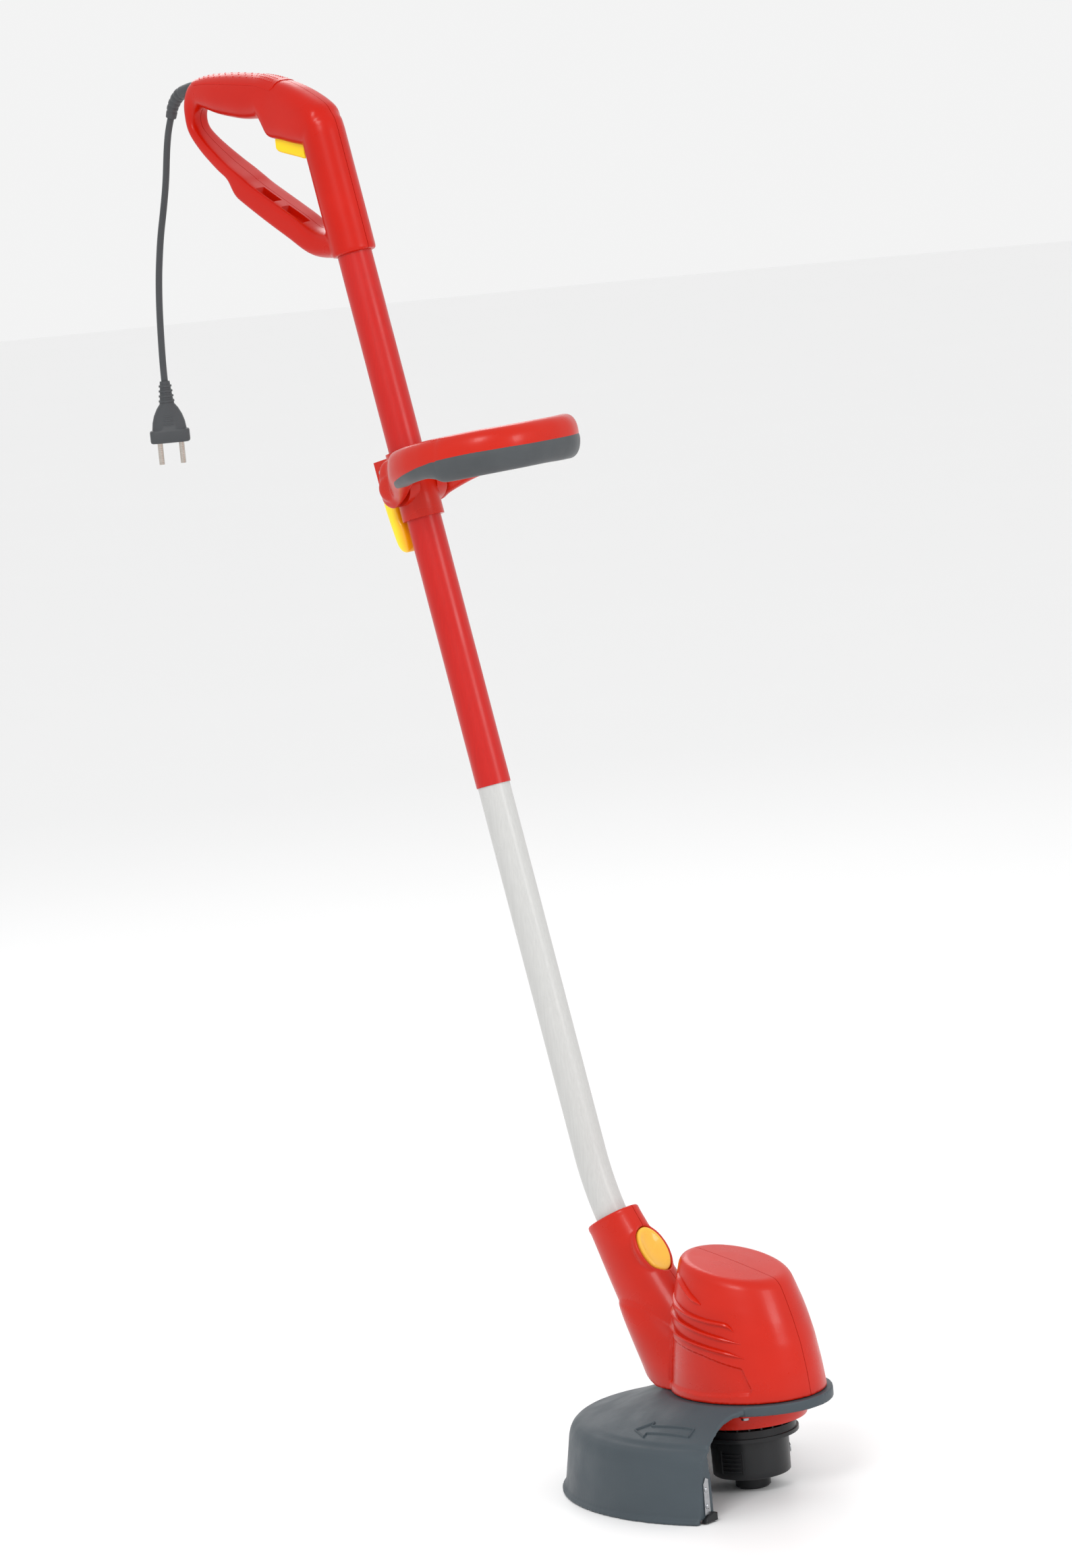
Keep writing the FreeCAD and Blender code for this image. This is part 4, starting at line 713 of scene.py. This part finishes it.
def lever():
    """Cam lever with a broad finger pad, in the tube's own directions."""
    rings = []
    for z, rear, front, width in smooth_rows(LEVER, 3):
        centre = COLLAR + TUBE_UP * z + TUBE_FORWARD * ((rear + front) / 2)
        rings.append(oval(centre, TUBE_FORWARD, Y_AXIS, (front - rear) / 2, width, 3.2, 32))
    shape = crisp(loft("cam_lever_rounded", rings), 40.0)
    return dress(shape, "cam_lever", "lever_plastic", "clamp_lever")


# ---- mains cord

# Cord and boot routes in the middle plane, x and z.
CORD = [(-557, 1168.5), (-561.6, 1158.6), (-565, 1147.2), (-567.7, 1135.7), (-572.2, 1112.1),
        (-578.9, 1088.5), (-586.5, 1064.9), (-591.9, 1041.2), (-594.7, 1026), (-597.4, 1005.4),
        (-599.3, 981.5), (-600.4, 960.5), (-600.8, 948), (-600.8, 936.5)]
BOOT = [(-517, 1192.9), (-530.5, 1191.2), (-543, 1187.6), (-552.12, 1179), (-557, 1168.5)]
BOOT_THICK, BOOT_THIN = 6.5, 4.7
CORD_RADIUS = 3.0
PLUG_TURN = math.radians(-44.4)


def cord_curve():
    """Cord as a NURBS curve of its own thickness."""
    data = bpy.data.curves.new("power_cord_flex", "CURVE")
    data.dimensions = "3D"
    spline = data.splines.new("NURBS")
    spline.points.add(len(CORD) - 1)
    for point, (x, z) in zip(spline.points, CORD):
        point.co = (x * MM, 0.0, z * MM, 1.0)
    spline.order_u = 3
    spline.use_endpoint_u = True
    spline.resolution_u = 12
    data.bevel_depth = CORD_RADIUS * MM
    data.bevel_resolution = 8
    data.use_fill_caps = True
    return linked("power_cord_flex", data)


def boot():
    """Tapered strain relief with flex grooves towards its mouth."""
    route = smooth_rows(BOOT, 14)
    rings = []
    last = len(route) - 1
    for i, (x, z) in enumerate(route):
        ahead = route[min(i + 1, last)] - route[max(i - 1, 0)]
        along = Vector((ahead[0], 0, ahead[1])).normalized()
        part = i / last
        radius = BOOT_THICK + (BOOT_THIN - BOOT_THICK) * part ** 1.3
        if part > 0.35 and i % 6 in (0, 1) and i < last - 3:
            radius -= 0.45
        rings.append(oval(Vector((x, 0, z)), along.cross(Y_AXIS), Y_AXIS, radius, radius, 2.0, 36))
    return dress(loft("cord_boot_ribbed", rings), "shaft", "cord_rubber", "cord_boot")


# Plug's stations: depth below the cord's end, half width, half thickness, squareness.
PLUG = [(0, 4.4, 4.4, 2), (6, 4.9, 4.9, 2), (13, 5.6, 5.6, 2), (20, 6.6, 6, 2), (24, 9.6, 6.2, 2.3),
        (30, 12.6, 6.2, 2.6), (36, 14.4, 6.1, 3), (42.6, 15.3, 6, 3.4), (43.4, 17.2, 6.6, 4),
        (44.6, 17.6, 6.8, 4.4), (52.6, 17.6, 6.8, 4.4), (53.8, 17.2, 6.5, 4.4), (54.5, 16.2, 5.8, 4.2)]


def plug():
    """Two-pin plug: ribbed neck, widening body with finger ridges, flat face plate."""
    end = Vector((CORD[-1][0], 0, CORD[-1][1]))
    wide = Vector((-math.sin(PLUG_TURN), math.cos(PLUG_TURN), 0))
    thick = wide.cross(UP)
    verts, faces = rings_mesh([oval(end - UP * d, wide, thick, a, b, n, 44) for d, a, b, n in PLUG])
    for i in range(4):
        depth = 4.2 + 4.4 * i
        size = 5.2 + 0.42 * i
        collar = [oval(end - UP * (depth + h), wide, thick, size + grow, size + grow, 2.0, 32)
                  for h, grow in ((-1.1, -0.6), (-0.8, 0.5), (0.8, 0.6), (1.1, -0.6))]
        add_mesh(verts, faces, *rings_mesh(collar))
    for side in (-1, 1):
        for i in range(3):
            centre = end - UP * (31.0 + 3.6 * i) + thick * (side * 5.7)
            ridge = [centre + wide * (x - 5.0) for x in np.linspace(0, 10, 8)]
            add_mesh(verts, faces, *bar_along(ridge, 1.4, 0.9, [thick * side] * 8, 0.35))
    shape = crisp(new_piece("plug_moulded", verts, faces), 38.0)
    return dress(shape, "shaft", "cord_rubber", "plug_body")


# ---- motor housing

# Dome sections: height, front reach, rear reach, half width.
DOME = [(85.4, 76.2, 66.6, 57.5), (108, 73.5, 65, 55.2), (130, 69.2, 62.5, 52.8), (150, 63, 59.5, 50.2),
        (168, 56, 56, 46.8), (186, 48, 52, 42), (212, 34, 45, 33)]
# Neck sections: distance down the socket, front reach, rear reach, half width.
NECK = [(30, 27, 26.5, 18.4), (44, 29, 26.5, 19), (80, 34.5, 26.5, 21.5), (120, 44, 26, 24),
        (185, 60, 24, 26)]
HOUSING_BASE = 85.4
TOP_HEIGHT = 193.0
TOP_SLOPE = math.tan(math.radians(11.7))
TILT_FROM, TILT_OVER = 125.0, 50.0
# Rounded edge of the top: drop below the top and size of the section there.
TOP_EDGE = [(4, 0.99), (2.4, 0.972), (1.2, 0.945), (0.45, 0.91), (0.1, 0.86), (0, 0.78), (-0.5, 0.45),
            (-0.7, 0.1)]
# Flare that joins the neck to the dome: height, rear end, half length, half width.
FLARE = [(154, -127, 22, 22), (151, -128.4, 26, 25.8), (147, -128, 30, 28), (135, -123, 37, 31),
         (118, -115, 45, 34), (100, -106, 51, 36.5), (84, -99, 55, 38)]
BUTTON_CENTRE = Vector((-91.0, 0, 196.0))
BUTTON_OUT = -joint_axis("release_press")
BUTTON_LONG = Y_AXIS.cross(BUTTON_OUT)
# Half length and half width of the button, of its pocket and of the raised rim round it.
BUTTON_SIZE = (21.4, 13.9)
POCKET_SIZE = (22.0, 14.5)
RIM_SIZE = (23.6, 16.1)
SOCKET_BORE_RADIUS = 14.5
# Collar at the socket's mouth: distance down the socket and growth over the neck.
MOUTH_COLLAR = ((29.2, -0.5), (29.9, 0.5), (33.0, 0.8), (35.5, 0.2))
# Raised ribs on the dome's side, x and z, and the edge of the sunk panel below them, which is sunk only
# where the flank is further out than FLANK_FROM.
RIB_WIDE, RIB_HIGH, RIB_TAPER = 3.7, 3.8, 0.25
RIBS = [[(-34, 187), (-22, 181), (-9, 173), (3, 167)],
        [(-45, 168), (-28, 162), (-11, 158), (12, 154), (28, 151.5), (35, 146)],
        [(-50, 158), (-36, 154.5), (-21, 150.5), (5.5, 144.5), (24, 140.5), (41, 136)],
        [(-54, 148), (-38, 142.5), (-21, 138), (13, 132), (30, 128.5), (44, 124)]]
PANEL = [(-52, 137), (-35, 132.5), (5.5, 126), (42.5, 116), (50.5, 97), (48.6, 93.5), (4.7, 91.5),
         (-52, 92.5)]
PANEL_DEPTH = 2.0
PANEL_EDGE = 1.6
FLANK_FROM = 22.0


def dome_row(z, column):
    """Value of one column of DOME at a height."""
    return float(np.interp(z, [row[0] for row in DOME], [row[column] for row in DOME]))


def dome_point(x, z, side):
    """Point just under the dome's flank and its outward direction."""
    front, rear, width = (dome_row(z, column) for column in (1, 2, 3))
    middle, half = (front - rear) / 2, (front + rear) / 2
    part = max(-0.98, min(0.98, (x - middle) / half))
    y = side * width * math.sqrt(1 - part ** 2)
    out = Vector(((x - middle) / half ** 2, y / width ** 2, 0.0018)).normalized()
    return Vector((x, y, z)) - out * 0.2, out


def dome_rings():
    """Level rings below, tilting from TILT_FROM on up to the rounded edge of the sloping top."""
    levels = [(z, 1.0) for z in np.linspace(HOUSING_BASE, TOP_HEIGHT - 6.0, 22)]
    levels += [(TOP_HEIGHT - drop, size) for drop, size in TOP_EDGE]
    rings = []
    for level, size in levels:
        tilt = TOP_SLOPE * min(1.0, max(0.0, (level - TILT_FROM) / TILT_OVER))
        front, rear = 50.0, 50.0
        for _ in range(6):
            front = dome_row(level - tilt * front, 1)
            rear = dome_row(level + tilt * rear, 2)
        middle = (front - rear) / 2
        half, width = (front + rear) / 2 * size, dome_row(level, 3) * size
        rings.append(oval((middle, 0, level - tilt * middle), (1, 0, -tilt), Y_AXIS, half, width, 2.05, 96))
    return rings


def button_pocket(name):
    """Tool for the button's hole."""
    return loft(name, [oval(BUTTON_CENTRE + BUTTON_OUT * lift, BUTTON_LONG, Y_AXIS, *POCKET_SIZE, 2.0, 48)
                       for lift in (-9.8, 14.0)])


def socket_bore(name, *ends):
    """Tool for the tube's hole between two distances down the socket."""
    return round_bar(name, [on_socket(s) for s in ends], SOCKET_FORWARD, Y_AXIS, SOCKET_BORE_RADIUS, 48)


def below_base(name):
    """Space under the housing's base, which rises behind the dome."""
    heel = HOUSING_BASE + 230 * math.tan(math.radians(17))
    return side_prism(name, [(200, HOUSING_BASE), (-70, HOUSING_BASE), (-300, heel), (-300, 0), (200, 0)],
                      -150, 150)


def sink_panels(mesh):
    """Moves the flanks inwards inside the panel's outline."""
    corners = np.array(PANEL, float)
    count = len(mesh.vertices)
    points = np.empty(count * 3)
    mesh.vertices.foreach_get("co", points)
    points = points.reshape(-1, 3) / MM
    flat = points[:, [0, 2]]
    inside = np.zeros(count, bool)
    nearest = np.full(count, 1e9)
    for i in range(len(corners)):
        a, b = corners[i], corners[(i + 1) % len(corners)]
        edge = b - a
        along = np.clip(((flat - a) @ edge) / (edge @ edge), 0, 1)
        nearest = np.minimum(nearest, np.linalg.norm(flat - (a + along[:, None] * edge), axis=1))
        crosses = (a[1] > flat[:, 1]) != (b[1] > flat[:, 1])
        cut_x = a[0] + (flat[:, 1] - a[1]) * edge[0] / (edge[1] if abs(edge[1]) > 1e-9 else 1e-9)
        inside ^= crosses & (flat[:, 0] < cut_x)
    depth = np.where(inside, np.clip(nearest / PANEL_EDGE, 0, 1), 0) * PANEL_DEPTH
    flank = np.abs(points[:, 1]) > FLANK_FROM
    points[:, 1] -= np.sign(points[:, 1]) * depth * flank
    mesh.vertices.foreach_set("co", (points * MM).ravel())
    mesh.update()


def housing_neck():
    """Neck with the socket's bore and the button's pocket, cut off at the base."""
    rings = []
    for s, front, rear, width in smooth_rows(NECK, 6):
        middle, half = on_socket(s, (front - rear) / 2), (front + rear) / 2
        rings.append(oval(middle, SOCKET_FORWARD, Y_AXIS, half, width, 2.1, 64))
    tools = [below_base("below"), socket_bore("bore", 10, 76), button_pocket("pocket_neck")]
    return cut_away(loft("neck", rings), tools)


def housing_flare():
    """Web that joins the neck to the dome."""
    rings = [oval((rear + half, 0, z), X_AXIS, Y_AXIS, half, width, 2.1, 64)
             for z, rear, half, width in smooth_rows(FLARE, 4)]
    return cut_away(loft("flare", rings), [below_base("heel_cut")])


def seat_rim():
    """Raised rim round the button."""
    a, b = RIM_SIZE
    rings = []
    for j in range(64):
        angle = 2 * math.pi * j / 64
        out = (BUTTON_LONG * (math.cos(angle) / a) + Y_AXIS * (math.sin(angle) / b)).normalized()
        centre = BUTTON_CENTRE + BUTTON_LONG * (a * math.cos(angle)) + Y_AXIS * (b * math.sin(angle))
        rings.append(oval(centre - BUTTON_OUT * 4.2, out, BUTTON_OUT, 1.7, 3.4, 2.4, 14))
    return loft("seat_rim", rings, True)


def mouth_collar():
    """Thick rim at the socket's mouth."""
    rings = [oval(on_socket(s, 0.25), SOCKET_FORWARD, Y_AXIS, 26.4 + grow, 18.2 + grow, 2.1, 64)
             for s, grow in MOUTH_COLLAR]
    return cut_away(loft("mouth_collar", rings), [socket_bore("mouth_bore", 10, 60)])


def side_ribs(name, side):
    """Tapering ribs raised on one flank of the dome."""
    verts, faces = [], []
    for rib in RIBS:
        places = [dome_point(x, z, side) for x, z in smooth_rows(rib, 6)]
        points, outward = zip(*places)
        add_mesh(verts, faces, *bar_along(points, RIB_WIDE, RIB_HIGH, outward, RIB_TAPER))
    return new_piece(name, verts, faces)


def motor_housing():
    """Dome, neck, socket mouth, button seat, ribs and sunk panels, split along the middle."""
    dome = cut_away(loft("dome", dome_rings()), [button_pocket("pocket_dome")])
    solids = [dome, housing_neck(), housing_flare(), seat_rim(), mouth_collar()]
    skin = merged(joined("housing_skin", solids), FINE_VOXEL, 4)
    sink_panels(skin.data)
    for side, label, node in ((1, "housing_left", "motor_housing_left"),
                              (-1, "housing_right", "motor_housing_right")):
        shell = half_of(skin, label + "_shell", side)
        part = crisp(joined(label, [shell, side_ribs(label + "_ribs", side)]), 42.0)
        dress(part, "head", "red_plastic", node)
    bpy.data.objects.remove(skin)


# Button's profile: lift over the seat and size of the section there, ending in the thumb dimple.
BUTTON_PROFILE = [(-5.6, 1), (-2, 1), (-0.6, 0.985), (0.15, 0.95), (0.25, 0.88), (-0.4, 0.78),
                  (-1.7, 0.6), (-2.6, 0.38), (-2.9, 0.14)]


def head_button():
    """Oval push button with a rounded edge and a thumb dimple."""
    a, b = BUTTON_SIZE
    rings = [oval(BUTTON_CENTRE + BUTTON_OUT * lift, BUTTON_LONG, Y_AXIS, a * size, b * size, 2.0, 56)
             for lift, size in BUTTON_PROFILE]
    shape = crisp(loft("head_button_dimpled", rings), 50.0)
    return dress(shape, "release_button", "amber_plastic", "head_release_button")


# ---- guard

GUARD_X = -22.5
GUARD_LONG = 156.0
GUARD_WIDE = 127.5
LEDGE_X = 4.8
LEDGE_LONG = 76.6
LEDGE_WIDE = 62.8
LEDGE_LOW, LEDGE_HIGH = 76.6, 85.2
LEDGE_HOLE = 50.8
GUARD_WALL = 2.6
GUARD_EDGE = 46.0
# Skirt from the floor to the shoulder: height, and inset from the guard's half sizes; up to the lip's
# height the inset is an outset.
SKIRT_LIP = 3.1
SKIRT = [(0, 2.4), (3, 2.4), (3.8, 0.4), (12, 1.9), (24, 3.8), (36, 5.7), (46, 7.2), (51, 8.6),
         (55, 10.8), (58.2, 14.2), (60.2, 18)]
# Rising top: height, half length, half width and middle at the shoulder, and their change up to the ledge.
SHOULDER = (57.0, 147.0, 118.5, GUARD_X)
SHOULDER_RISE = (28.4, -70.4, -55.7, LEDGE_X - GUARD_X)
# Front edge of the guard in plan, curving into the ledge.
GUARD_FRONT = [(46, -103), (45.2, -96), (43, -90), (41.2, -83), (40.2, -76), (40.6, -70), (42.6, -64.5),
               (46.4, -59.5), (50, -55), (40, -40), (0, 0), (-45, 40)]
# Flange that carries the cutter blade, in y and z.
FLANGE = ((-112, 3), (-104.5, 54), (-98.5, 56), (-96.5, 34), (-96.5, 5))


def crown(part):
    """Section of the guard's rising top, from the shoulder at 0 to the ledge at 1."""
    return tuple(foot + change * part for foot, change in zip(SHOULDER, SHOULDER_RISE))


def crown_height(x, y):
    """Height of the guard's rising top over a point of the plan."""
    low, high = 0.0, 1.0
    for _ in range(30):
        part = (low + high) / 2
        _, a, b, middle = crown(part)
        inside = ((x - middle) / a) ** 2 + (y / b) ** 2 < 1
        low, high = (part, high) if inside else (low, part)
    return crown(low)[0]


def bell_rings():
    """Outside of the bell from the lip to the ledge, then its inside back down."""
    profile = []
    for z, inset in SKIRT:
        grow = -inset if z > SKIRT_LIP else inset
        profile.append((z, GUARD_LONG + grow, GUARD_WIDE + grow, GUARD_X))
    profile += [crown(part) for part in (0.2, 0.4, 0.6, 0.8, 1.02)]
    inner = [(z - GUARD_WALL if z > 50 else z, a - GUARD_WALL, b - GUARD_WALL, x)
             for z, a, b, x in reversed(profile)]
    inner[-1] = (0.0, GUARD_LONG - GUARD_WALL, GUARD_WIDE - GUARD_WALL, GUARD_X)
    return [oval((x, 0, z), X_AXIS, Y_AXIS, a, b, 2.0, 160) for z, a, b, x in profile + inner]


def guard():
    """Skirted bell with lip, rounded shoulder, ledge, cut-away front and cutter flange."""
    outline = [(GUARD_EDGE, -200)] + GUARD_FRONT + [(-126, 200), (200, 200), (200, -200)]
    front = loft("front", [[(x, y, z) for x, y in outline] for z in (-10, 110)])
    bell = cut_away(loft("bell", bell_rings(), True), [front])
    corners = ((LEDGE_X, LEDGE_LOW, LEDGE_LONG, LEDGE_WIDE), (LEDGE_X, LEDGE_HIGH, LEDGE_LONG, LEDGE_WIDE),
               (0, LEDGE_HIGH, LEDGE_HOLE, LEDGE_HOLE), (0, LEDGE_LOW, LEDGE_HOLE, LEDGE_HOLE))
    ledge = loft("ledge", [oval((x, 0, z), X_AXIS, Y_AXIS, a, b, 2.0, 120) for x, z, a, b in corners], True)
    flange = loft("flange", [[(x, y, z) for y, z in FLANGE] for x in (43.2, GUARD_EDGE - 0.1)])
    shape = crisp(merged(joined("guard_bell", [bell, ledge, flange]), FINE_VOXEL, 3), 55.0)
    return dress(shape, "head", "guard_plastic", "guard")


# Turning-direction arrow on the guard's top: tail centre, tip, head's length, half widths of bar and head.
ARROW_TAIL = Vector((22.0, -90.5, 0))
ARROW_TIP = Vector((-37.0, -97.0, 0))
ARROW_HEAD = 15.0
ARROW_BAR_HALF, ARROW_HEAD_HALF = 4, 8.5


def guard_arrow():
    """Raised outline of an arrow, following the guard's top."""
    along = ARROW_TIP - ARROW_TAIL
    length = along.length
    along.normalize()
    across = UP.cross(along)

    def lifted(u, v):
        spot = ARROW_TAIL + along * u + across * v
        return Vector((spot.x, spot.y, crown_height(spot.x, spot.y)))

    neck = length - ARROW_HEAD
    outline = [(0, -ARROW_BAR_HALF), (neck, -ARROW_BAR_HALF), (neck, -ARROW_HEAD_HALF), (length, 0),
               (neck, ARROW_HEAD_HALF), (neck, ARROW_BAR_HALF), (0, ARROW_BAR_HALF)]
    verts, faces = [], []
    for i, start in enumerate(outline):
        end = outline[(i + 1) % len(outline)]
        row = [lifted(start[0] + (end[0] - start[0]) * t, start[1] + (end[1] - start[1]) * t)
               for t in np.linspace(0, 1, 9)]
        add_mesh(verts, faces, *bar_along(row, 1.4, 1.5, [UP] * 9, 1.0))
    return dress(crisp(new_piece("guard_arrow", verts, faces), 40.0), "head", "guard_plastic")


# Cutter blade and its clip, in y and z; the blade's two faces in x; screw heads: x and radius, y, heights.
BLADE = [(-108.2, 7), (-101.6, 7), (-101.6, 36.5), (-104.6, 38), (-107.2, 33)]
BLADE_FACES = (46.3, 47.1)
SCREW_HEAD = ((47.0, 2.1), (47.7, 2.0), (48.1, 1.3))
SCREW_Y, SCREW_HEIGHTS = -104.8, (14.0, 28.0)
CLIP = [(-111, 1), (-96.5, 1), (-96.5, 7.5), (-101, 8.5), (-109.5, 4)]


def cutter_blade():
    """Slim steel strip with two pan heads on the guard's end flange."""
    parts = [loft("blade_strip", [[(x, y, z) for y, z in BLADE] for x in BLADE_FACES])]
    parts += [loft("blade_screw", [oval((x, SCREW_Y, z), Y_AXIS, UP, r, r, 2.0, 20) for x, r in SCREW_HEAD])
              for z in SCREW_HEIGHTS]
    shape = crisp(joined("cutter_blade_slim", parts), 30.0)
    return dress(shape, "head", "steel", "line_cutter_blade", "blade_screws")


def cutter_bracket():
    """Small black clip that holds the cutter blade's foot."""
    rings = [[(x, -103 + (y + 103) * shrink, 4.5 + (z - 4.5) * shrink) for y, z in CLIP]
             for x, shrink in ((44.5, 0.9), (45.0, 1.0), (49.6, 1.0), (50.2, 0.88))]
    return dress(crisp(loft("cutter_bracket", rings), 35.0), "head", "black_plastic")


# ---- line head details

# Finger patches: angles of their middles, radius of the ribs' feet and of the upright edges' feet.
PATCHES = (-76.0, 104.0)
PATCH_RADIUS, PATCH_EDGE_RADIUS = 33.15, 33.1


def around(radius, degrees, z):
    """Point on the line head at a radius, an angle and a height."""
    angle = math.radians(degrees)
    return Vector((radius * math.cos(angle), radius * math.sin(angle), z))


def cap_grips():
    """Ribbed finger patches on both sides of the spool cap: five ribs between two upright edges."""
    verts, faces = [], []

    def add_bar(points, width, height, taper):
        outward = [Vector((p.x, p.y, 0)) for p in points]
        add_mesh(verts, faces, *bar_along(points, width, height, outward, taper))

    for middle in PATCHES:
        for z in [20.5 + 3.6 * row for row in range(5)]:
            add_bar([around(PATCH_RADIUS, a, z) for a in np.linspace(middle - 15, middle + 15, 13)],
                    1.5, 1.3, 0.6)
        for edge in (-17.5, 17.5):
            add_bar([around(PATCH_EDGE_RADIUS, middle + edge, z) for z in np.linspace(18, 37.5, 8)],
                    1.1, 0.8, 1.0)
    return dress(crisp(new_piece("spool_cap_grips", verts, faces), 40.0), "rotor", "black_plastic")


# ---- CAD nodes that stay

# Exposed nodes whose sharp edges get a small round: node and its radius.
ROUNDED = {"clamp_collar": 0.7, "spool_cap": 0.7, "tap_button": 0.5, "bottom_cover": 0.5,
           "spool_housing": 0.25}
# Nodes whose plating shows instead of the metal below it.
PLATED = {"plug_pins": "nickel"}


def finish_cad_nodes():
    """Materials on every CAD node, and small rounds on the exposed ones."""
    for entry in frame["record"]["subparts"]:
        node = frame["nodes"][entry["node"]]
        node.data.materials.clear()
        node.data.materials.append(MATERIALS[PLATED.get(entry["node"], entry["material_slot"])])
    for name, radius in ROUNDED.items():
        node = frame["nodes"][name]
        weld = node.modifiers.new("weld", "WELD")
        weld.merge_threshold = 1e-6
        edge = node.modifiers.new("round", "BEVEL")
        edge.width = radius * MM
        edge.segments = 2
        edge.limit_method = "ANGLE"
        edge.angle_limit = math.radians(40)
        edge.use_clamp_overlap = True


# ---- studio

# Soft lights: place, aim, side of the square and watts.
LIGHTS = {"key_light": ((1.2, -2.6, 3.0), (-0.2, 0, 0.6), 1.2, 44),
          "side_light": ((3.0, 0.2, 1.6), (-0.2, 0, 0.5), 1.1, 20),
          "back_light": ((-2.2, 1.4, 2.4), (-0.2, 0, 0.7), 1.4, 18)}
FLOOR_RADIUS = 14000


def add_light(name, place, aim, size, watts):
    data = bpy.data.lights.new(name, "AREA")
    data.shape = "SQUARE"
    data.size = size
    data.energy = watts
    light = linked(name, data)
    light.location = place
    light.rotation_euler = (Vector(aim) - Vector(place)).to_track_quat("-Z", "Y").to_euler()


def studio():
    """Pale floor, white surroundings and three soft lights."""
    turns = np.linspace(0, 2 * math.pi, 97)[:-1]
    rim = [(FLOOR_RADIUS * math.cos(a), FLOOR_RADIUS * math.sin(a), -0.3) for a in turns]
    floor = new_piece("floor", rim, [tuple(range(96))], False)
    paper = Surface("floor_paper", (250, 250, 250), 0.42)
    paper.set_roughness(paper.spread(paper.noise(3.0, 4.0), 0.38, 0.5))
    paper.bump((paper.noise(260.0, 2.0), 0.05, 0.0002))
    floor.data.materials.append(paper.material)
    world = bpy.data.worlds.new("studio")
    world.use_nodes = True
    background = world.node_tree.nodes["Background"]
    background.inputs["Color"].default_value = (1.0, 1.0, 1.0, 1.0)
    background.inputs["Strength"].default_value = 0.9
    bpy.context.scene.world = world
    bpy.context.scene.view_settings.view_transform = "Standard"
    for name, values in LIGHTS.items():
        add_light(name, *values)


# Camera: turn from straight on, rise over the horizon, roll, distance, lens and the point it aims at.
CAMERA_TURN = math.radians(45.6)
CAMERA_RISE = math.radians(8.5)
CAMERA_ROLL = math.radians(5.4)
CAMERA_DISTANCE = 5.5
CAMERA_LENS = 149.1
CAMERA_TARGET = Vector((-0.1811, 0, 0.5913))


def camera():
    """Camera at the photo's angle."""
    sine, cosine = math.sin(CAMERA_TURN), math.cos(CAMERA_TURN)
    level = math.cos(CAMERA_RISE)
    toward = Vector((sine * level, -cosine * level, math.sin(CAMERA_RISE)))
    right = Vector((cosine, sine, 0))
    up = toward.cross(right)
    rolled_right = right * math.cos(CAMERA_ROLL) - up * math.sin(CAMERA_ROLL)
    rolled_up = right * math.sin(CAMERA_ROLL) + up * math.cos(CAMERA_ROLL)
    spot = CAMERA_TARGET + toward * CAMERA_DISTANCE
    data = bpy.data.cameras.new("photo_camera")
    data.lens = CAMERA_LENS
    data.sensor_width = 36.0
    data.sensor_fit = "AUTO"
    data.clip_end = 100.0
    view = linked("photo_camera", data)
    view.matrix_world = Matrix([[rolled_right[i], rolled_up[i], toward[i], spot[i]] for i in range(3)]
                               + [[0, 0, 0, 1]])
    bpy.context.scene.camera = view


# ---- assembly

finish_cad_nodes()
rear_handle()
front_loop()
lever()
motor_housing()
head_button()
guard()
guard_arrow()
cutter_blade()
cutter_bracket()
cap_grips()
boot()
plug_piece = plug()
cord_piece = dress(cord_curve(), "shaft", "cord_rubber", "power_cord")
studio()
camera()
